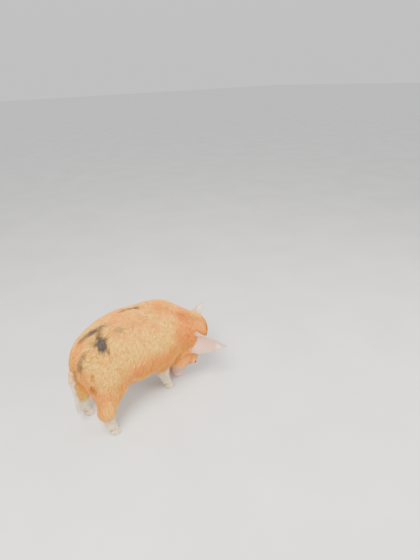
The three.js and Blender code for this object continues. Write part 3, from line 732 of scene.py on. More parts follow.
def ear_leaf(side, tip, faces):
    faces = unit(faces)
    seat, out = ear_seat(side)
    to_tip = tip - seat
    reached = seat + unit(to_tip) * EAR_LENGTH
    middle = (seat + reached) / 2 - faces * EAR_LENGTH * EAR_BOW
    spine = np.array([seat - out * EAR_SUNK, seat, middle, reached])
    across = unit(np.cross(to_tip, faces))
    t, j = down_the_ear, across_the_ear[None]
    place, along = through(spine, t)
    opening = unit(np.cross(across, along))
    wide = (EAR_WIDTH * (1 - t**EAR_TAPER) + EAR_TIP_WIDTH)[:, None]
    roll = (EAR_ROLL_ROOT + (EAR_ROLL_TIP - EAR_ROLL_ROOT) * np.minimum(t * EAR_UNROLL, 1))[:, None]
    turn = roll * j
    radius = wide / (2 * roll)
    thick = EAR_THICKNESS * (1 - 0.5 * t)[:, None] * (1 - 0.45 * j**4) / 2
    vein = VEIN_DEEP * np.sin(5 * math.pi * j + 3 * t[:, None]) * (1 - j**2)
    rim = RIM_WAVE * np.sin(t[:, None] * 9 + 2 * side) * j**4 * smooth(t, 0.1, 0.4)[:, None]
    sheets = []
    for face in (1, -1):
        r = radius + face * thick + vein
        sheet = place[:, None] + across * (r * np.sin(turn))[..., None]
        sheets.append(sheet + opening[:, None] * (r * np.cos(turn) - radius + rim)[..., None])
    return sheets, seat, unit(to_tip)


print("an ear is", EAR_LENGTH, "long and", EAR_WIDTH, "wide at the root")

# %% Two sheets closed round the rim
def closed_sheets(outer, inner):
    index = np.arange(outer.shape[0] * outer.shape[1]).reshape(outer.shape[:2])
    quad = [index[:-1, :-1], index[:-1, 1:], index[1:, 1:], index[1:, :-1]]
    a, b, c, d = (corner.ravel() for corner in quad)
    shift = index.size
    quads = [np.stack([a, b, c, d], 1), shift + np.stack([a, d, c, b], 1)]
    rim = np.concatenate([index[0, :-1], index[:-1, -1], index[-1, :0:-1], index[:0:-1, 0]])
    following = np.roll(rim, -1)
    quads.append(np.stack([following, rim, shift + rim, shift + following], 1))
    points = np.concatenate([outer.reshape(-1, 3), inner.reshape(-1, 3)])
    quads = np.concatenate(quads)
    p = points[quads]
    volume = (np.cross(p[:, 0], p[:, 1]) * p[:, 2]).sum() + (np.cross(p[:, 0], p[:, 2]) * p[:, 3]).sum()
    return points, quads if volume > 0 else quads[:, ::-1]


print("points on one side of a leaf", (EAR_ROWS + 1) * (EAR_COLUMNS + 1))

# %% Both ears join the skin
BODY_PART, RIGHT_EAR, LEFT_EAR, LIDS = 0, 1, 2, 3
EARS = {
    "right": (-1, np.array([0.366, -0.129, 0.184]), np.array([0.39, 0.90, -0.20])),
    "left": (1, np.array([0.432, 0.116, 0.256]), np.array([0.50, -0.60, 0.60])),
}
part_of_point = [np.full(len(skin_points), BODY_PART)]
edge_of_point = [np.zeros(len(skin_points))]
all_points, all_faces = [skin_points], list(skin_faces)


def join_skin(points, quads, part, edge):
    start = sum(map(len, all_points))
    all_points.append(points)
    all_faces.extend(tuple(q) for q in quads + start)
    part_of_point.append(np.full(len(points), part))
    edge_of_point.append(edge)


ear_lines = {}
for name, (side, tip, faces) in EARS.items():
    (outer, inner), seat, direction = ear_leaf(side, tip, faces)
    near_side = np.broadcast_to(np.abs(across_the_ear), outer.shape[:2])
    near_tip = smooth(down_the_ear, 0.7, 1)[:, None]
    edge = np.maximum(near_side, near_tip).ravel()
    number = RIGHT_EAR if side < 0 else LEFT_EAR
    join_skin(*closed_sheets(outer, inner), number, np.concatenate([edge, edge]))
    ear_lines[number] = (seat, direction)
    print("ear", name, "seat", seat.round(3), "points", len(all_points[-1]))

# %% [markdown]
# The lids are rings of points on a ball slightly larger than the eye. They start at an almond opening with
# a rolled rim, carry fine creases, and end under the skin of the socket.

# %% Eyelids
LID_STEPS = 14
LID_SIDES = 72
LID_END = math.radians(84)
LID_CORNER = 0.28
LID_PLAY = 0.0003
LID_ROLL = 0.0018
LID_SINK = 0.0009
CREASE_DEEP = 0.00028
CREASE_TURNS = 26


def lid_rings(eye):
    turn = circle(LID_SIDES)
    corner = 1 - LID_CORNER * np.cos(turn) ** 2
    a = LID_HALF * np.cos(turn)
    b = np.where(np.sin(turn) > 0, LID_UPPER, LID_LOWER) * np.sin(turn) * corner
    opening = np.arcsin(np.clip(np.sqrt(a * a + b * b) / (EYE_RADIUS * 1.02), 0, 0.999))
    heading = np.arctan2(b, a)
    rings = []
    for k in range(LID_STEPS + 1):
        r = k / LID_STEPS
        angle = opening + (LID_END - opening) * r
        rim = EYE_RADIUS + LID_PLAY + LID_ROLL * smooth(r, 0, 0.14) - LID_SINK * smooth(r, 0.6, 1)
        crease = CREASE_DEEP * math.sin(r * CREASE_TURNS) * smooth(r, 0.1, 0.3) * (1 + 0.4 * np.sin(turn * 3))
        level = [np.sin(angle) * np.cos(heading), np.sin(angle) * np.sin(heading), np.cos(angle)]
        local = np.stack(level, 1)
        rings.append(eye["centre"] + (local * np.reshape(rim + crease, (-1, 1))) @ eye["axes"].T)
    return np.array(rings)


for eye in eyes:
    lid = lid_rings(eye)
    index = np.arange(lid.shape[0] * LID_SIDES).reshape(lid.shape[0], LID_SIDES)
    following = np.roll(index, -1, 1)
    quads = np.stack([index[:-1], following[:-1], following[1:], index[1:]], -1).reshape(-1, 4)
    lid = lid.reshape(-1, 3)
    outward = lid[quads].mean(1) - eye["centre"]
    normal = np.cross(lid[quads[:, 1]] - lid[quads[:, 0]], lid[quads[:, 3]] - lid[quads[:, 0]])
    if (normal * outward).sum() < 0:
        quads = quads[:, ::-1]
    join_skin(lid, quads, LIDS, np.zeros(len(lid)))
print("points with ears and lids", sum(map(len, all_points)))

# %% [markdown]
# Body, ears and lids become one object, so no seam shows between them. It also gets its flat map here, by
# smart projection. The tufts will borrow their place on that map from the skin under their roots.

# %% The skin as one object
ISLAND_ANGLE = math.radians(66)
ISLAND_GAP = 0.001
skin_points = np.concatenate(all_points)
point_part = np.concatenate(part_of_point)
point_edge = np.concatenate(edge_of_point)
skin_mesh = new_mesh("skin", skin_points + MOVE, all_faces)
skin = bpy.data.objects.new("skin", skin_mesh)
bpy.context.scene.collection.objects.link(skin)
bpy.context.view_layer.objects.active = skin
skin.select_set(True)
bpy.ops.object.mode_set(mode="EDIT")
bpy.ops.mesh.select_all(action="SELECT")
bpy.ops.uv.smart_project(angle_limit=ISLAND_ANGLE, island_margin=ISLAND_GAP)
bpy.ops.object.mode_set(mode="OBJECT")
skin_mesh.uv_layers[0].name = "OFBake"
print("skin faces", len(skin_mesh.polygons))

# %% [markdown]
# Hooves are horn shells over the toes. The packed ones have ten sides. These are drawn by the same rings
# with more points and fine growth lines, so they stand in the same place with the same flat sole.

# %% Pieces made of rings
def piece_of(name, points, faces, *nodes, slot):
    piece = bpy.data.objects.new(name, new_mesh(name, points, faces))
    bpy.context.scene.collection.objects.link(piece)
    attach(piece, "root")
    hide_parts(*nodes)
    return piece


def ring_faces(rings, count):
    index = np.arange(rings * count).reshape(rings, count)
    following = np.roll(index, -1, 1)
    quads = np.stack([index[:-1], following[:-1], following[1:], index[1:]], -1).reshape(-1, 4)
    return [tuple(q) for q in quads] + [tuple(index[0, ::-1]), tuple(index[-1])]


def turned_out(points, faces):
    # Faces of a closed form that point outwards
    volume = 0.0
    for face in faces:
        for i in range(1, len(face) - 1):
            volume += np.dot(points[face[0]], np.cross(points[face[i]], points[face[i + 1]]))
    return faces if volume > 0 else [face[::-1] for face in faces]


def ringed(name, rings, node, slot):
    points = np.concatenate(rings)
    faces = turned_out(points - points.mean(0), ring_faces(len(rings), len(rings[0])))
    return piece_of(name, points, faces, node, slot=slot)


print("a ring of 4 on a ring of 4 has", len(ring_faces(2, 4)), "faces")

# %% Hooves
HOOF_POINTS = 44
HOOF_RINGS = 30
SOLE_STEPS = [0, 0.0006, 0.0018]
GROWTH_DEEP = 0.006
GROWTH_TURNS = 2600
TOP_IN = 0.02
hoof_heights = np.concatenate([SOLE_STEPS, np.linspace(0.003, HOOF_HEIGHT, HOOF_RINGS - len(SOLE_STEPS))])


def hoof_piece(foot, place, toe_side):
    rings = []
    for z in hoof_heights:
        grown = 0.003 < z < 0.95 * HOOF_HEIGHT
        line = GROWTH_DEEP * math.sin(z * GROWTH_TURNS + toe_side) if grown else 0
        line = line - TOP_IN * (z == hoof_heights[-1])
        rings.append(hoof_ring(foot, toe_side, z, HOOF_POINTS, line) + MOVE)
    return ringed(f"horn_{foot}_{place}", rings, f"hoof_{foot}_{place}", "horn")


print("rings in a hoof", len(hoof_heights))

# %% [markdown]
# Two dewclaws hang behind each foot above the hooves. Each is a small blunt cone of horn, drawn from its
# root inside the leg to the tip of the packed one.

# %% Dewclaws
SPUR_ROOT = (-0.018, 0.011, 0.050)
SPUR_RADIUS = 0.0052
SPUR_RINGS = 16
SPUR_SIDES = 20
SPUR_BLUNT = 2.4
SPUR_FLAT = 0.8
SPUR_LIFT = 0.001


def spur_piece(foot, place, toe_side):
    claw = f"dewclaw_{foot}_{place}"
    low, high = packed_box(claw)
    back, apart, up = SPUR_ROOT
    top, tip = from_foot(foot, back, toe_side * apart, up) + MOVE, (low + high) / 2
    tip[2] = low[2] + SPUR_LIFT
    t = np.linspace(0, 1, SPUR_RINGS)
    path = top + (tip - top) * t[:, None]
    width = SPUR_RADIUS * np.sqrt(np.clip(1 - t**SPUR_BLUNT, 0.012, 1)) * (1 + 0.03 * np.sin(t * 40))
    turn = circle(SPUR_SIDES)
    u = unit(np.cross(unit(tip - top), [1, 0.2, 0]))
    v = np.cross(unit(tip - top), u)
    round_it = np.cos(turn)[:, None] * u + SPUR_FLAT * np.sin(turn)[:, None] * v
    rings = [path[i] + width[i] * round_it for i in range(SPUR_RINGS)]
    return ringed(f"spur_{foot}_{place}", rings, claw, "horn")


horn_pieces = []
for foot in FEET:
    for place, toe_side in (("left", 1), ("right", -1)):
        horn_pieces.append(hoof_piece(foot, place, toe_side))
        horn_pieces.append(spur_piece(foot, place, toe_side))
print("horn pieces", len(horn_pieces))

# %% [markdown]
# A pig's eye is a dark ball with a clear bulge in front. The ball keeps the packed eye's place and size.
# The bulge catches the light, which makes a small bright point.

# %% Eyeballs
EYE_RINGS = 36
EYE_SIDES = 48
EYE_POLE = 0.02
EYE_SMALLER = 0.985
BULGE = 0.03
BULGE_WIDE = 0.55
eye_pieces = []
for eye in eyes:
    polar = np.linspace(EYE_POLE, math.pi - EYE_POLE, EYE_RINGS)[:, None]
    radius = EYE_RADIUS * (EYE_SMALLER + BULGE * np.exp(-((polar / BULGE_WIDE) ** 2)))
    turn = circle(EYE_SIDES)
    out = np.broadcast_to(radius * np.cos(polar), (EYE_RINGS, EYE_SIDES))
    local = [radius * np.sin(polar) * np.cos(turn), radius * np.sin(polar) * np.sin(turn), out]
    rings = eye["centre"] + np.stack(local, -1) @ eye["axes"].T + MOVE
    eye_pieces.append((ringed(f"{eye['name']}ball", list(rings), eye["name"], "eye"), eye))
print("eyes", len(eye_pieces))

# %% [markdown]
# The coat is solid mesh. A tuft is a flat three-sided blade: three rings of three points and a tip. It has
# 16 triangles. Roots are drawn at random over the skin's triangles, more on the face, legs and ear rims.

# %% The skin's triangles
def read(collection, key, width, kind=np.float32):
    values = np.empty(len(collection) * width, kind)
    collection.foreach_get(key, values)
    return values.reshape(-1, width) if width > 1 else values


skin_mesh.calc_loop_triangles()
corners = read(skin_mesh.loop_triangles, "vertices", 3, np.int32)
loops = read(skin_mesh.loop_triangles, "loops", 3, np.int32)
areas = read(skin_mesh.loop_triangles, "area", 1)
point_normals = read(skin_mesh.vertices, "normal", 3)
loop_uvs = read(skin_mesh.uv_layers[0].data, "uv", 2)
middles = skin_points[corners].mean(1)
triangle_part = point_part[corners[:, 0]]
triangle_edge = point_edge[corners].mean(1)
print("triangles", len(corners), "area", areas.sum().round(3), "square metres")

# %% [markdown]
# Where a tuft stands decides how it looks. Every point gets a share of head, leg and tail between 0 and 1,
# so that the coat changes softly from one to the next.

# %% Shares of head, leg and tail
def regions(p, part):
    body = in_chunks(lambda q: melt(melt(None, trunk, q), limbs, q), p)
    skull = in_chunks(lambda q: melt(None, head, q), p)
    on_tail = in_chunks(lambda q: melt(None, tail, q), p)
    share = np.where((part == RIGHT_EAR) | (part == LEFT_EAR), 1, head_share(body, skull))
    leg = smooth(p[:, 2], 0.165, 0.095) * (1 - share)
    tail_share = smooth(on_tail, 0.006, 0.002) * (p[:, 0] < -0.19)
    leg = leg * (1 - tail_share)
    return share, leg, tail_share, face_of(p)[:, 0]


share, leg, tail_share, along_face = regions(middles, triangle_part)
print("triangles on the head", int((share > 0.5).sum()), "and on the tail", int((tail_share > 0.5).sum()))

# %% Where the tufts grow
TUFTS = 84000
LEG_DENSER, FACE_DENSER, TAIL_DENSER = 0.7, 1.3, 1.5
SNOUT_BARE = 0.985
EAR_DENSITY, EAR_RIM_DENSER = 0.7, 2.6
HOOF_TOP = 0.024
density = 1 + LEG_DENSER * leg + FACE_DENSER * share * smooth(along_face, 10, 70) + TAIL_DENSER * tail_share
density *= 1 - SNOUT_BARE * share * smooth(along_face, 146, 154)
ear_triangle = (triangle_part == RIGHT_EAR) | (triangle_part == LEFT_EAR)
density = np.where(ear_triangle, EAR_DENSITY + EAR_RIM_DENSER * smooth(triangle_edge, 0.7, 0.97), density)
density = np.where(triangle_part == LIDS, 0, density)
density *= middles[:, 2] > HOOF_TOP
weight = np.cumsum(density * areas)
pick = np.searchsorted(weight, (np.arange(TUFTS) + rng.random(TUFTS)) / TUFTS * weight[-1])
pick = np.clip(pick, 0, len(corners) - 1)
print("triangles with a tuft", len(np.unique(pick)))

# %% Roots inside the picked triangles
a, b = rng.random(TUFTS), rng.random(TUFTS)
flip = a + b > 1
a[flip], b[flip] = 1 - a[flip], 1 - b[flip]
share_of_corner = np.stack([1 - a - b, a, b], 1)[..., None]
roots = (skin_points[corners[pick]] * share_of_corner).sum(1)
root_normals = unit((point_normals[corners[pick]] * share_of_corner).sum(1))
root_uvs = (loop_uvs[loops[pick]] * share_of_corner).sum(1)
part = triangle_part[pick]
edge = triangle_edge[pick]
is_ear = (part == RIGHT_EAR) | (part == LEFT_EAR)
share, leg, tail_share, along_face = regions(roots, part)
print("tufts", TUFTS, "on the head", int((share > 0.5).sum()), "on the legs", int((leg > 0.5).sum()))

# %% [markdown]
# The lie of the coat gives each tuft its way. It runs back along the spine and down over the flanks, down
# the legs, from the snout over the forehead to the nape, and from root to tip on the ears and tail.

# %% Waves and columns
BACKWARD = np.array([-1.0, 0, 0])
DOWNWARD = np.array([0, 0, -1.0])
RIPPLE_WAVES = 4


def ripple(p, size, seed):
    # A smooth wave of mixed directions, about -1 to 1
    mixer = np.random.default_rng(seed)
    total = np.zeros(len(p))
    for _ in range(RIPPLE_WAVES):
        total += np.sin(p @ mixer.normal(0, 2.6 / size, 3) + mixer.random() * 6.3)
    return total / 2.4


def column(v):
    return np.asarray(v)[:, None]


print("the widest wave is", np.abs(ripple(roots, 0.06, 3)).max().round(2))

# %% The lie of the coat
def lie(p, n):
    flank = smooth(np.abs(p[:, 1] - SPINE_Y) / HALF_WIDTH, 0.10, 0.55)
    rump = smooth(p[:, 0], -0.06, -0.17)
    way = BACKWARD * column(1.0 - 0.66 * flank + 0.35 * rump) + DOWNWARD * column(0.10 + 1.1 * flank)
    under = smooth(-n[:, 2], 0.3, 0.8)
    nape = smooth(n[:, 0], 0.25, 0.8)
    way = way + BACKWARD * column(0.9 * under) - DOWNWARD * column(1.3 * nape)
    way = way * column(1 - leg) + (DOWNWARD + 0.22 * BACKWARD) * column(leg)
    on_head = 0.7 * BACKWARD - to_snout
    way = way * column(1 - share) + on_head * column(share)
    for number, (seat, direction) in ear_lines.items():
        way[part == number] = direction + 0.3 * n[part == number]
    return way * column(1 - tail_share) + DOWNWARD * column(tail_share)


way = lie(roots, root_normals)
way = unit(way - root_normals * column((way * root_normals).sum(1)))
across = np.cross(way, root_normals)
sway = 0.20 * ripple(roots, 0.06, 3) + 0.10 * ripple(roots, 0.02, 4) + rng.normal(0, 0.07, TUFTS)
sway = sway * (1 - 0.5 * share)
way = unit(way + across * column(sway))
across = np.cross(way, root_normals)
print("mean way", way.mean(0).round(2))

# %% [markdown]
# Length changes over the body: long on the flanks and neck, short on the legs and face, with a tassel on
# the tail and a fringe under the belly.

# %% Lengths of the tufts
BODY_LENGTH, NECK_LONGER, FRINGE_LONGER = 0.031, 0.004, 0.006
LEG_LENGTH, HOCK_LONGER = 0.010, 0.014
FOREHEAD_LENGTH, CHEEK_SHORTER, MUZZLE_SHORTER = 0.015, 0.0085, 0.0025
EAR_HAIR, EAR_RIM_LONGER = 0.008, 0.006
TAIL_HAIR, TASSEL_LONGER = 0.011, 0.026
tassel = tail_share * smooth(roots[:, 2], 0.165, 0.135)
neck = smooth(roots[:, 0], 0.17, 0.24) * (1 - share)
fringe = smooth(-root_normals[:, 2], 0.15, 0.7) * (1 - leg) * (1 - share) * (1 - tail_share)
length = BODY_LENGTH + NECK_LONGER * neck + FRINGE_LONGER * fringe
length = length + (LEG_LENGTH + HOCK_LONGER * smooth(roots[:, 2], 0.06, 0.13) - length) * leg
face_length = FOREHEAD_LENGTH - CHEEK_SHORTER * smooth(along_face, 20, 90)
face_length = face_length - MUZZLE_SHORTER * smooth(along_face, 100, 140)
length = length + (face_length - length) * share
length = np.where(is_ear, EAR_HAIR + EAR_RIM_LONGER * smooth(edge, 0.8, 1), length)
length = length + (TAIL_HAIR - length) * tail_share + TASSEL_LONGER * tassel
length *= rng.uniform(0.72, 1.18, TUFTS)
print("lengths from", length.min().round(4), "to", length.max().round(4))

# %% Widths, and heights over the skin
BODY_WIDTH, LEG_NARROWER, EAR_HAIR_WIDTH = 0.0020, 0.0007, 0.0009
FACE_WIDTH, MUZZLE_NARROWER = 0.0010, 0.00035
BODY_HEIGHT, NECK_HIGHER, LEG_COAT, TAIL_COAT = 0.0070, 0.001, 0.0020, 0.0022
FOREHEAD_COAT, MUZZLE_LOWER = 0.0034, 0.0025
EAR_COAT, EAR_RIM_HIGHER = 0.0016, 0.001
width = BODY_WIDTH - LEG_NARROWER * leg
width = width + (FACE_WIDTH - width) * share * smooth(along_face, -10, 60)
width = width - MUZZLE_NARROWER * share * smooth(along_face, 80, 120)
width = np.where(is_ear, EAR_HAIR_WIDTH, width)
width *= rng.uniform(0.75, 1.25, TUFTS)
height = BODY_HEIGHT + NECK_HIGHER * neck
height = height + (LEG_COAT - height) * leg
height = height + ((FOREHEAD_COAT - MUZZLE_LOWER * smooth(along_face, 20, 110)) - height) * share
height = np.where(is_ear, EAR_COAT + EAR_RIM_HIGHER * smooth(edge, 0.8, 1), height)
height = height + (TAIL_COAT - height) * tail_share
height *= rng.uniform(0.45, 1.1, TUFTS)
print("widths to", width.max().round(4), "heights to", height.max().round(4))

# %% [markdown]
# Tufts near each other lean together, which makes the locks that a dry, straight coat falls into. Space is
# cut into small cubes with one centre each, and every tuft in a cube is pulled towards that centre.

# %% Clumps
BODY_CLUMP, FACE_CLUMP, EAR_CLUMP, LEG_CLUMP_SMALLER = 0.0155, 0.009, 0.006, 0.004
CLUMP_PULL = 0.42
CLUMP_SEED = 5
CLUMP_TABLE = 100003
CLUMP_MIXER = np.array([73856093, 19349663, 83492791])


def clump_pull(p, n, size):
    cells = np.floor(p / column(size)).astype(np.int64)
    seeds = (cells @ CLUMP_MIXER) % CLUMP_TABLE
    table = np.random.default_rng(CLUMP_SEED).random((CLUMP_TABLE, 4))
    centre = (cells + 0.2 + 0.6 * table[seeds, :3]) * column(size)
    pull = centre - p
    return pull - n * column((pull * n).sum(1)), table[seeds, 3]


clump_size = np.where(share > 0.5, FACE_CLUMP, BODY_CLUMP) - LEG_CLUMP_SMALLER * leg
clump_size = np.round(np.where(is_ear, EAR_CLUMP, clump_size), 3)
pull, clump_tone = clump_pull(roots, root_normals, clump_size)
pull = pull * column(CLUMP_PULL * (1 - 0.6 * is_ear))
print("mean pull", np.linalg.norm(pull, axis=1).mean().round(4))

# %% [markdown]
# A blade starts just under the skin, rises, and then lies along it. Its height is measured with the skin's
# own field, so it follows every fold. Fringe and tassel also droop.

# %% The line of each tuft
RING_AT = np.array([0, 0.36, 0.72, 1.0])
RING_HEIGHT = np.array([-0.25, 0.35, 0.72, 1.0])
SUNK = 0.0015
MOST_LIFT = 0.012
FRINGE_DROOP, TASSEL_DROOP = 0.22, 0.35
FLOOR_CLEAR = 0.004
bend = rng.normal(0, 0.10, TUFTS) + 0.12 * ripple(roots, 0.03, 8)
free = is_ear | (tassel > 0.3)
lines = []
for at, rise in zip(RING_AT, RING_HEIGHT):
    line = roots + way * column(length * at) + pull * at**1.5 + across * column(bend * length * at**2)
    line = line + DOWNWARD * column((FRINGE_DROOP * fringe + TASSEL_DROOP * tassel) * length * at**2)
    if at > 0:
        wanted = height * rise
        lifted = np.clip(wanted - in_chunks(skin_field, line), -MOST_LIFT, MOST_LIFT)
        line = line + root_normals * column(np.where(free, wanted * (1 + 2.5 * tassel), lifted))
    else:
        line = line - root_normals * SUNK
    lines.append(line)
lines = np.stack(lines, 1)
lines[:, :, 2] = np.maximum(lines[:, :, 2], FLOOR_CLEAR)
print("coat box", (lines.reshape(-1, 3).min(0)).round(3), (lines.reshape(-1, 3).max(0)).round(3))

# %% Blades from the lines
RING_WIDTH = np.array([0.75, 1.0, 0.66])
KEEL = 0.8
blade_way = unit(lines[:, 3] - lines[:, 0])
blade_across = unit(np.cross(blade_way, root_normals))
blade_up = np.cross(blade_across, blade_way)
rings = []
for k, wide in enumerate(RING_WIDTH):
    half = column(width * wide / 2)
    middle = lines[:, k]
    rings += [middle - blade_across * half, middle + blade_across * half, middle + blade_up * half * KEEL]
blade_points = np.stack(rings + [lines[:, 3]], 1)
sides = [(k, i) for k in range(2) for i in range(3)]
quads = [(3 * k + i, 3 * k + (i + 1) % 3, 3 * k + 3 + (i + 1) % 3, 3 * k + 3 + i) for k, i in sides]
triangles = [(6, 7, 9), (7, 8, 9), (8, 6, 9), (0, 2, 1)]
BLADE_FACES = turned_out(blade_points[0] - blade_points[0].mean(0), quads + triangles)
BLADE_LOOPS = np.concatenate(BLADE_FACES)
BLADE_TOTALS = np.array([len(face) for face in BLADE_FACES])
print("faces in a blade", len(BLADE_FACES), "points", blade_points.shape[1])

# %% [markdown]
# A tuft carries its root's place, a tone, how pale it is, whether it is on an ear, and how far along the
# blade each point lies. The material reads these. On the flat map a tuft is a patch 3 mm across at its
# root's place on the skin's own map.

# %% Values that a tuft carries
UV_PATCH = 0.003
BLADE_ALONG = np.append(np.repeat(RING_AT[:3], 3), 1.0)
BLADE_U = np.append(np.tile([-0.5, 0.5, 0], 3), 0) * UV_PATCH
BLADE_V = BLADE_ALONG * UV_PATCH - UV_PATCH / 2
tone = np.clip(0.5 + 0.30 * (clump_tone - 0.5) + rng.normal(0, 0.17, TUFTS), 0, 1)
pale = np.where(is_ear, 0.55 + 0.4 * smooth(edge, 0.75, 0.95), 0.0)
print("tones from", tone.min().round(2), "to", tone.max().round(2))

# %% A mesh of many blades
BLADE_POINTS = blade_points.shape[1]


def coat_mesh(name, which):
    count = len(which)
    mesh = bpy.data.meshes.new(name)
    mesh.vertices.add(count * BLADE_POINTS)
    places = blade_points[which].reshape(-1, 3) + MOVE
    mesh.vertices.foreach_set("co", places.astype(np.float32).ravel())
    index = (np.arange(count) * BLADE_POINTS)[:, None] + BLADE_LOOPS
    mesh.loops.add(index.size)
    mesh.loops.foreach_set("vertex_index", index.ravel().astype(np.int32))
    totals = np.tile(BLADE_TOTALS, count)
    mesh.polygons.add(len(totals))
    mesh.polygons.foreach_set("loop_start", (np.cumsum(totals) - totals).astype(np.int32))
    mesh.polygons.foreach_set("loop_total", totals.astype(np.int32))
    mesh.polygons.foreach_set("use_smooth", np.ones(len(totals), bool))
    return mesh


def coat_piece(name, which):
    mesh = coat_mesh(name, which)
    uv = mesh.uv_layers.new(name="OFBake")
    place = root_uvs[which][:, None] + np.stack([BLADE_U, BLADE_V], 1)
    uv.data.foreach_set("uv", place[:, BLADE_LOOPS].astype(np.float32).ravel())
    root = mesh.attributes.new("root", "FLOAT_VECTOR", "POINT")
    root_places = np.repeat(roots[which] + MOVE, BLADE_POINTS, 0)
    root.data.foreach_set("vector", root_places.astype(np.float32).ravel())
    values_of = {"along": np.tile(BLADE_ALONG, len(which))}
    for key, each in (("tone", tone), ("pale", pale), ("ear", is_ear)):
        values_of[key] = np.repeat(each[which], BLADE_POINTS)
    for key, values in values_of.items():
        mesh.attributes.new(key, "FLOAT", "POINT").data.foreach_set("value", values.astype(np.float32))
    mesh.update(calc_edges=True)
    piece = bpy.data.objects.new(name, mesh)
    bpy.context.scene.collection.objects.link(piece)
    return piece


print("triangles in a tuft", int((BLADE_TOTALS - 2).sum()))

# %% [markdown]
# Each coat piece keeps under 200,000 triangles, so the coat is shared out by body part and side.

# %% Coat pieces
FLESH = ["torso", "head", "snout", "neck", "ear_left", "ear_right", "wattle_left", "wattle_right", "tail"]
FLESH += [f"leg_{foot}" for foot in FEET]
NAMES = ["ears", "tail", "head", "legs", "rump", "loin", "shoulders", "neck"]
RUMP_END, LOIN_END, SHOULDERS_END = -0.10, 0.01, 0.12
MOST_TUFTS = 12000
on_left = roots[:, 1] > SPINE_Y
groups = [is_ear, tail_share > 0.5, share > 0.5, leg > 0.5]
groups += [roots[:, 0] < end for end in (RUMP_END, LOIN_END, SHOULDERS_END)]
place = np.select(groups, list(range(len(groups))), len(groups))
coat = []
for number, name in enumerate(NAMES):
    for half, mask in (("left", on_left), ("right", ~on_left)):
        which = np.flatnonzero((place == number) & mask)
        for start in range(0, len(which), MOST_TUFTS):
            label = f"coat_{name}_{half}" + (f"_{start // MOST_TUFTS + 1}" if start else "")
            piece = coat_piece(label, which[start : start + MOST_TUFTS])
            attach(piece, "root")
            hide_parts(*FLESH)
            coat.append(piece)
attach(skin, "root")
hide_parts(*FLESH)
print("coat pieces", len(coat))

# %% [markdown]
# Skin and coat wear the same markings, so both ask one node group for their colour. Colours are written as
# they look on a screen, from 0 to 255, and turned into the linear values that the renderer works with.

# %% Colours
def linear(c):
    return c / 12.92 if c <= 10 / 255 else ((c + 0.055) / 1.055) ** 2.4


def paint(red, green, blue):
    return tuple(linear(c / 255) for c in (red, green, blue)) + (1,)


GINGER = paint(254, 168, 52)
GOLD = paint(255, 206, 78)
ORANGE = paint(244, 142, 40)
# painted shade colour for the top of the back
TOP_SHADE_GINGER = paint(250, 164, 62)
CREAM = paint(255, 242, 208)
FRINGE = paint(255, 218, 140)
GREY = paint(80, 76, 76)
SLATE = paint(96, 90, 90)
BROWN = paint(112, 78, 54)
PINK = paint(222, 170, 156)
EAR_BACK = paint(206, 180, 162)
TAN = paint(214, 160, 118)
WHITE = paint(255, 248, 226)
print("ginger in linear light", tuple(round(c, 3) for c in GINGER))

# %% [markdown]
# A patch is an egg at a named place, from one end to the other, with a half width, a strength and a
# softness. Gold, orange and cream tints come first, and the grey and brown marks of the back lie over them.

# %% Places of the tints and markings, in the pig's own frame
TINTS = [
    (GOLD, (-0.03, -0.115, 0.345), (0.09, -0.115, 0.330), 0.055, 0.75, 0.9),
    (GOLD, (-0.06, 0.05, 0.42), (-0.13, 0.06, 0.37), 0.050, 0.5, 0.8),
    (ORANGE, (0.21, -0.10, 0.30), (0.24, -0.07, 0.33), 0.060, 0.75, 0.8),
    (ORANGE, (0.22, 0.09, 0.30), (0.25, 0.07, 0.33), 0.060, 0.6, 0.8),
    (ORANGE, (-0.04, -0.14, 0.27), (0.12, -0.12, 0.25), 0.036, 0.7, 0.9),
    (ORANGE, (-0.17, 0.08, 0.25), (-0.17, -0.08, 0.25), 0.050, 0.3, 0.8),
    (FRINGE, (-0.066, -0.132, 0.246), (0.034, -0.124, 0.196), 0.010, 0.75, 0.8),
    (CREAM, (0.136, -0.024, 0.130), (0.146, -0.012, 0.020), 0.036, 0.95, 0.4),
    (CREAM, (0.160, 0.066, 0.130), (0.172, 0.080, 0.020), 0.036, 0.95, 0.4),
]
MARKINGS = [
    (GREY, (-0.090, -0.042, 0.392), (-0.101, -0.063, 0.378), 0.021, 0.98, 0.5),
    (GREY, (-0.118, -0.036, 0.388), (-0.104, -0.044, 0.391), 0.013, 0.75, 0.6),
    (GREY, (-0.094, -0.028, 0.399), (-0.078, -0.018, 0.406), 0.011, 0.85, 0.7),
    (SLATE, (-0.152, 0.018, 0.380), (-0.050, -0.004, 0.415), 0.015, 0.88, 0.6),
    (GREY, (-0.115, 0.010, 0.396), (-0.080, 0.002, 0.408), 0.009, 0.65, 0.6),
    (GREY, (0.030, 0.040, 0.417), (0.100, 0.022, 0.413), 0.012, 0.92, 0.5),
    (SLATE, (-0.022, -0.044, 0.409), (-0.012, -0.046, 0.409), 0.013, 0.60, 0.6),
    (SLATE, (-0.160, -0.040, 0.362), (-0.200, -0.056, 0.300), 0.012, 0.70, 0.6),
    (SLATE, (-0.212, -0.030, 0.300), (-0.218, -0.028, 0.250), 0.011, 0.75, 0.6),
    (BROWN, (-0.168, -0.094, 0.303), (-0.180, -0.092, 0.299), 0.010, 0.8, 0.6),
    (BROWN, (-0.176, -0.112, 0.262), (-0.180, -0.108, 0.248), 0.015, 0.7, 0.7),
    (SLATE, (0.160, -0.062, 0.386), (0.172, -0.080, 0.366), 0.007, 0.7, 0.7),
]
HEAD_TINTS = [
    (ORANGE, in_face(60, 0, 0), in_face(20, 0, 0), 0.075, 0.55, 0.9),
    (TAN, in_face(100, 0, -34), in_face(150, 0, -36), 0.060, 0.65, 0.8),
    (PINK, in_face(150, 0, -36), in_face(170, 0, -36), 0.036, 0.80, 0.5),
]
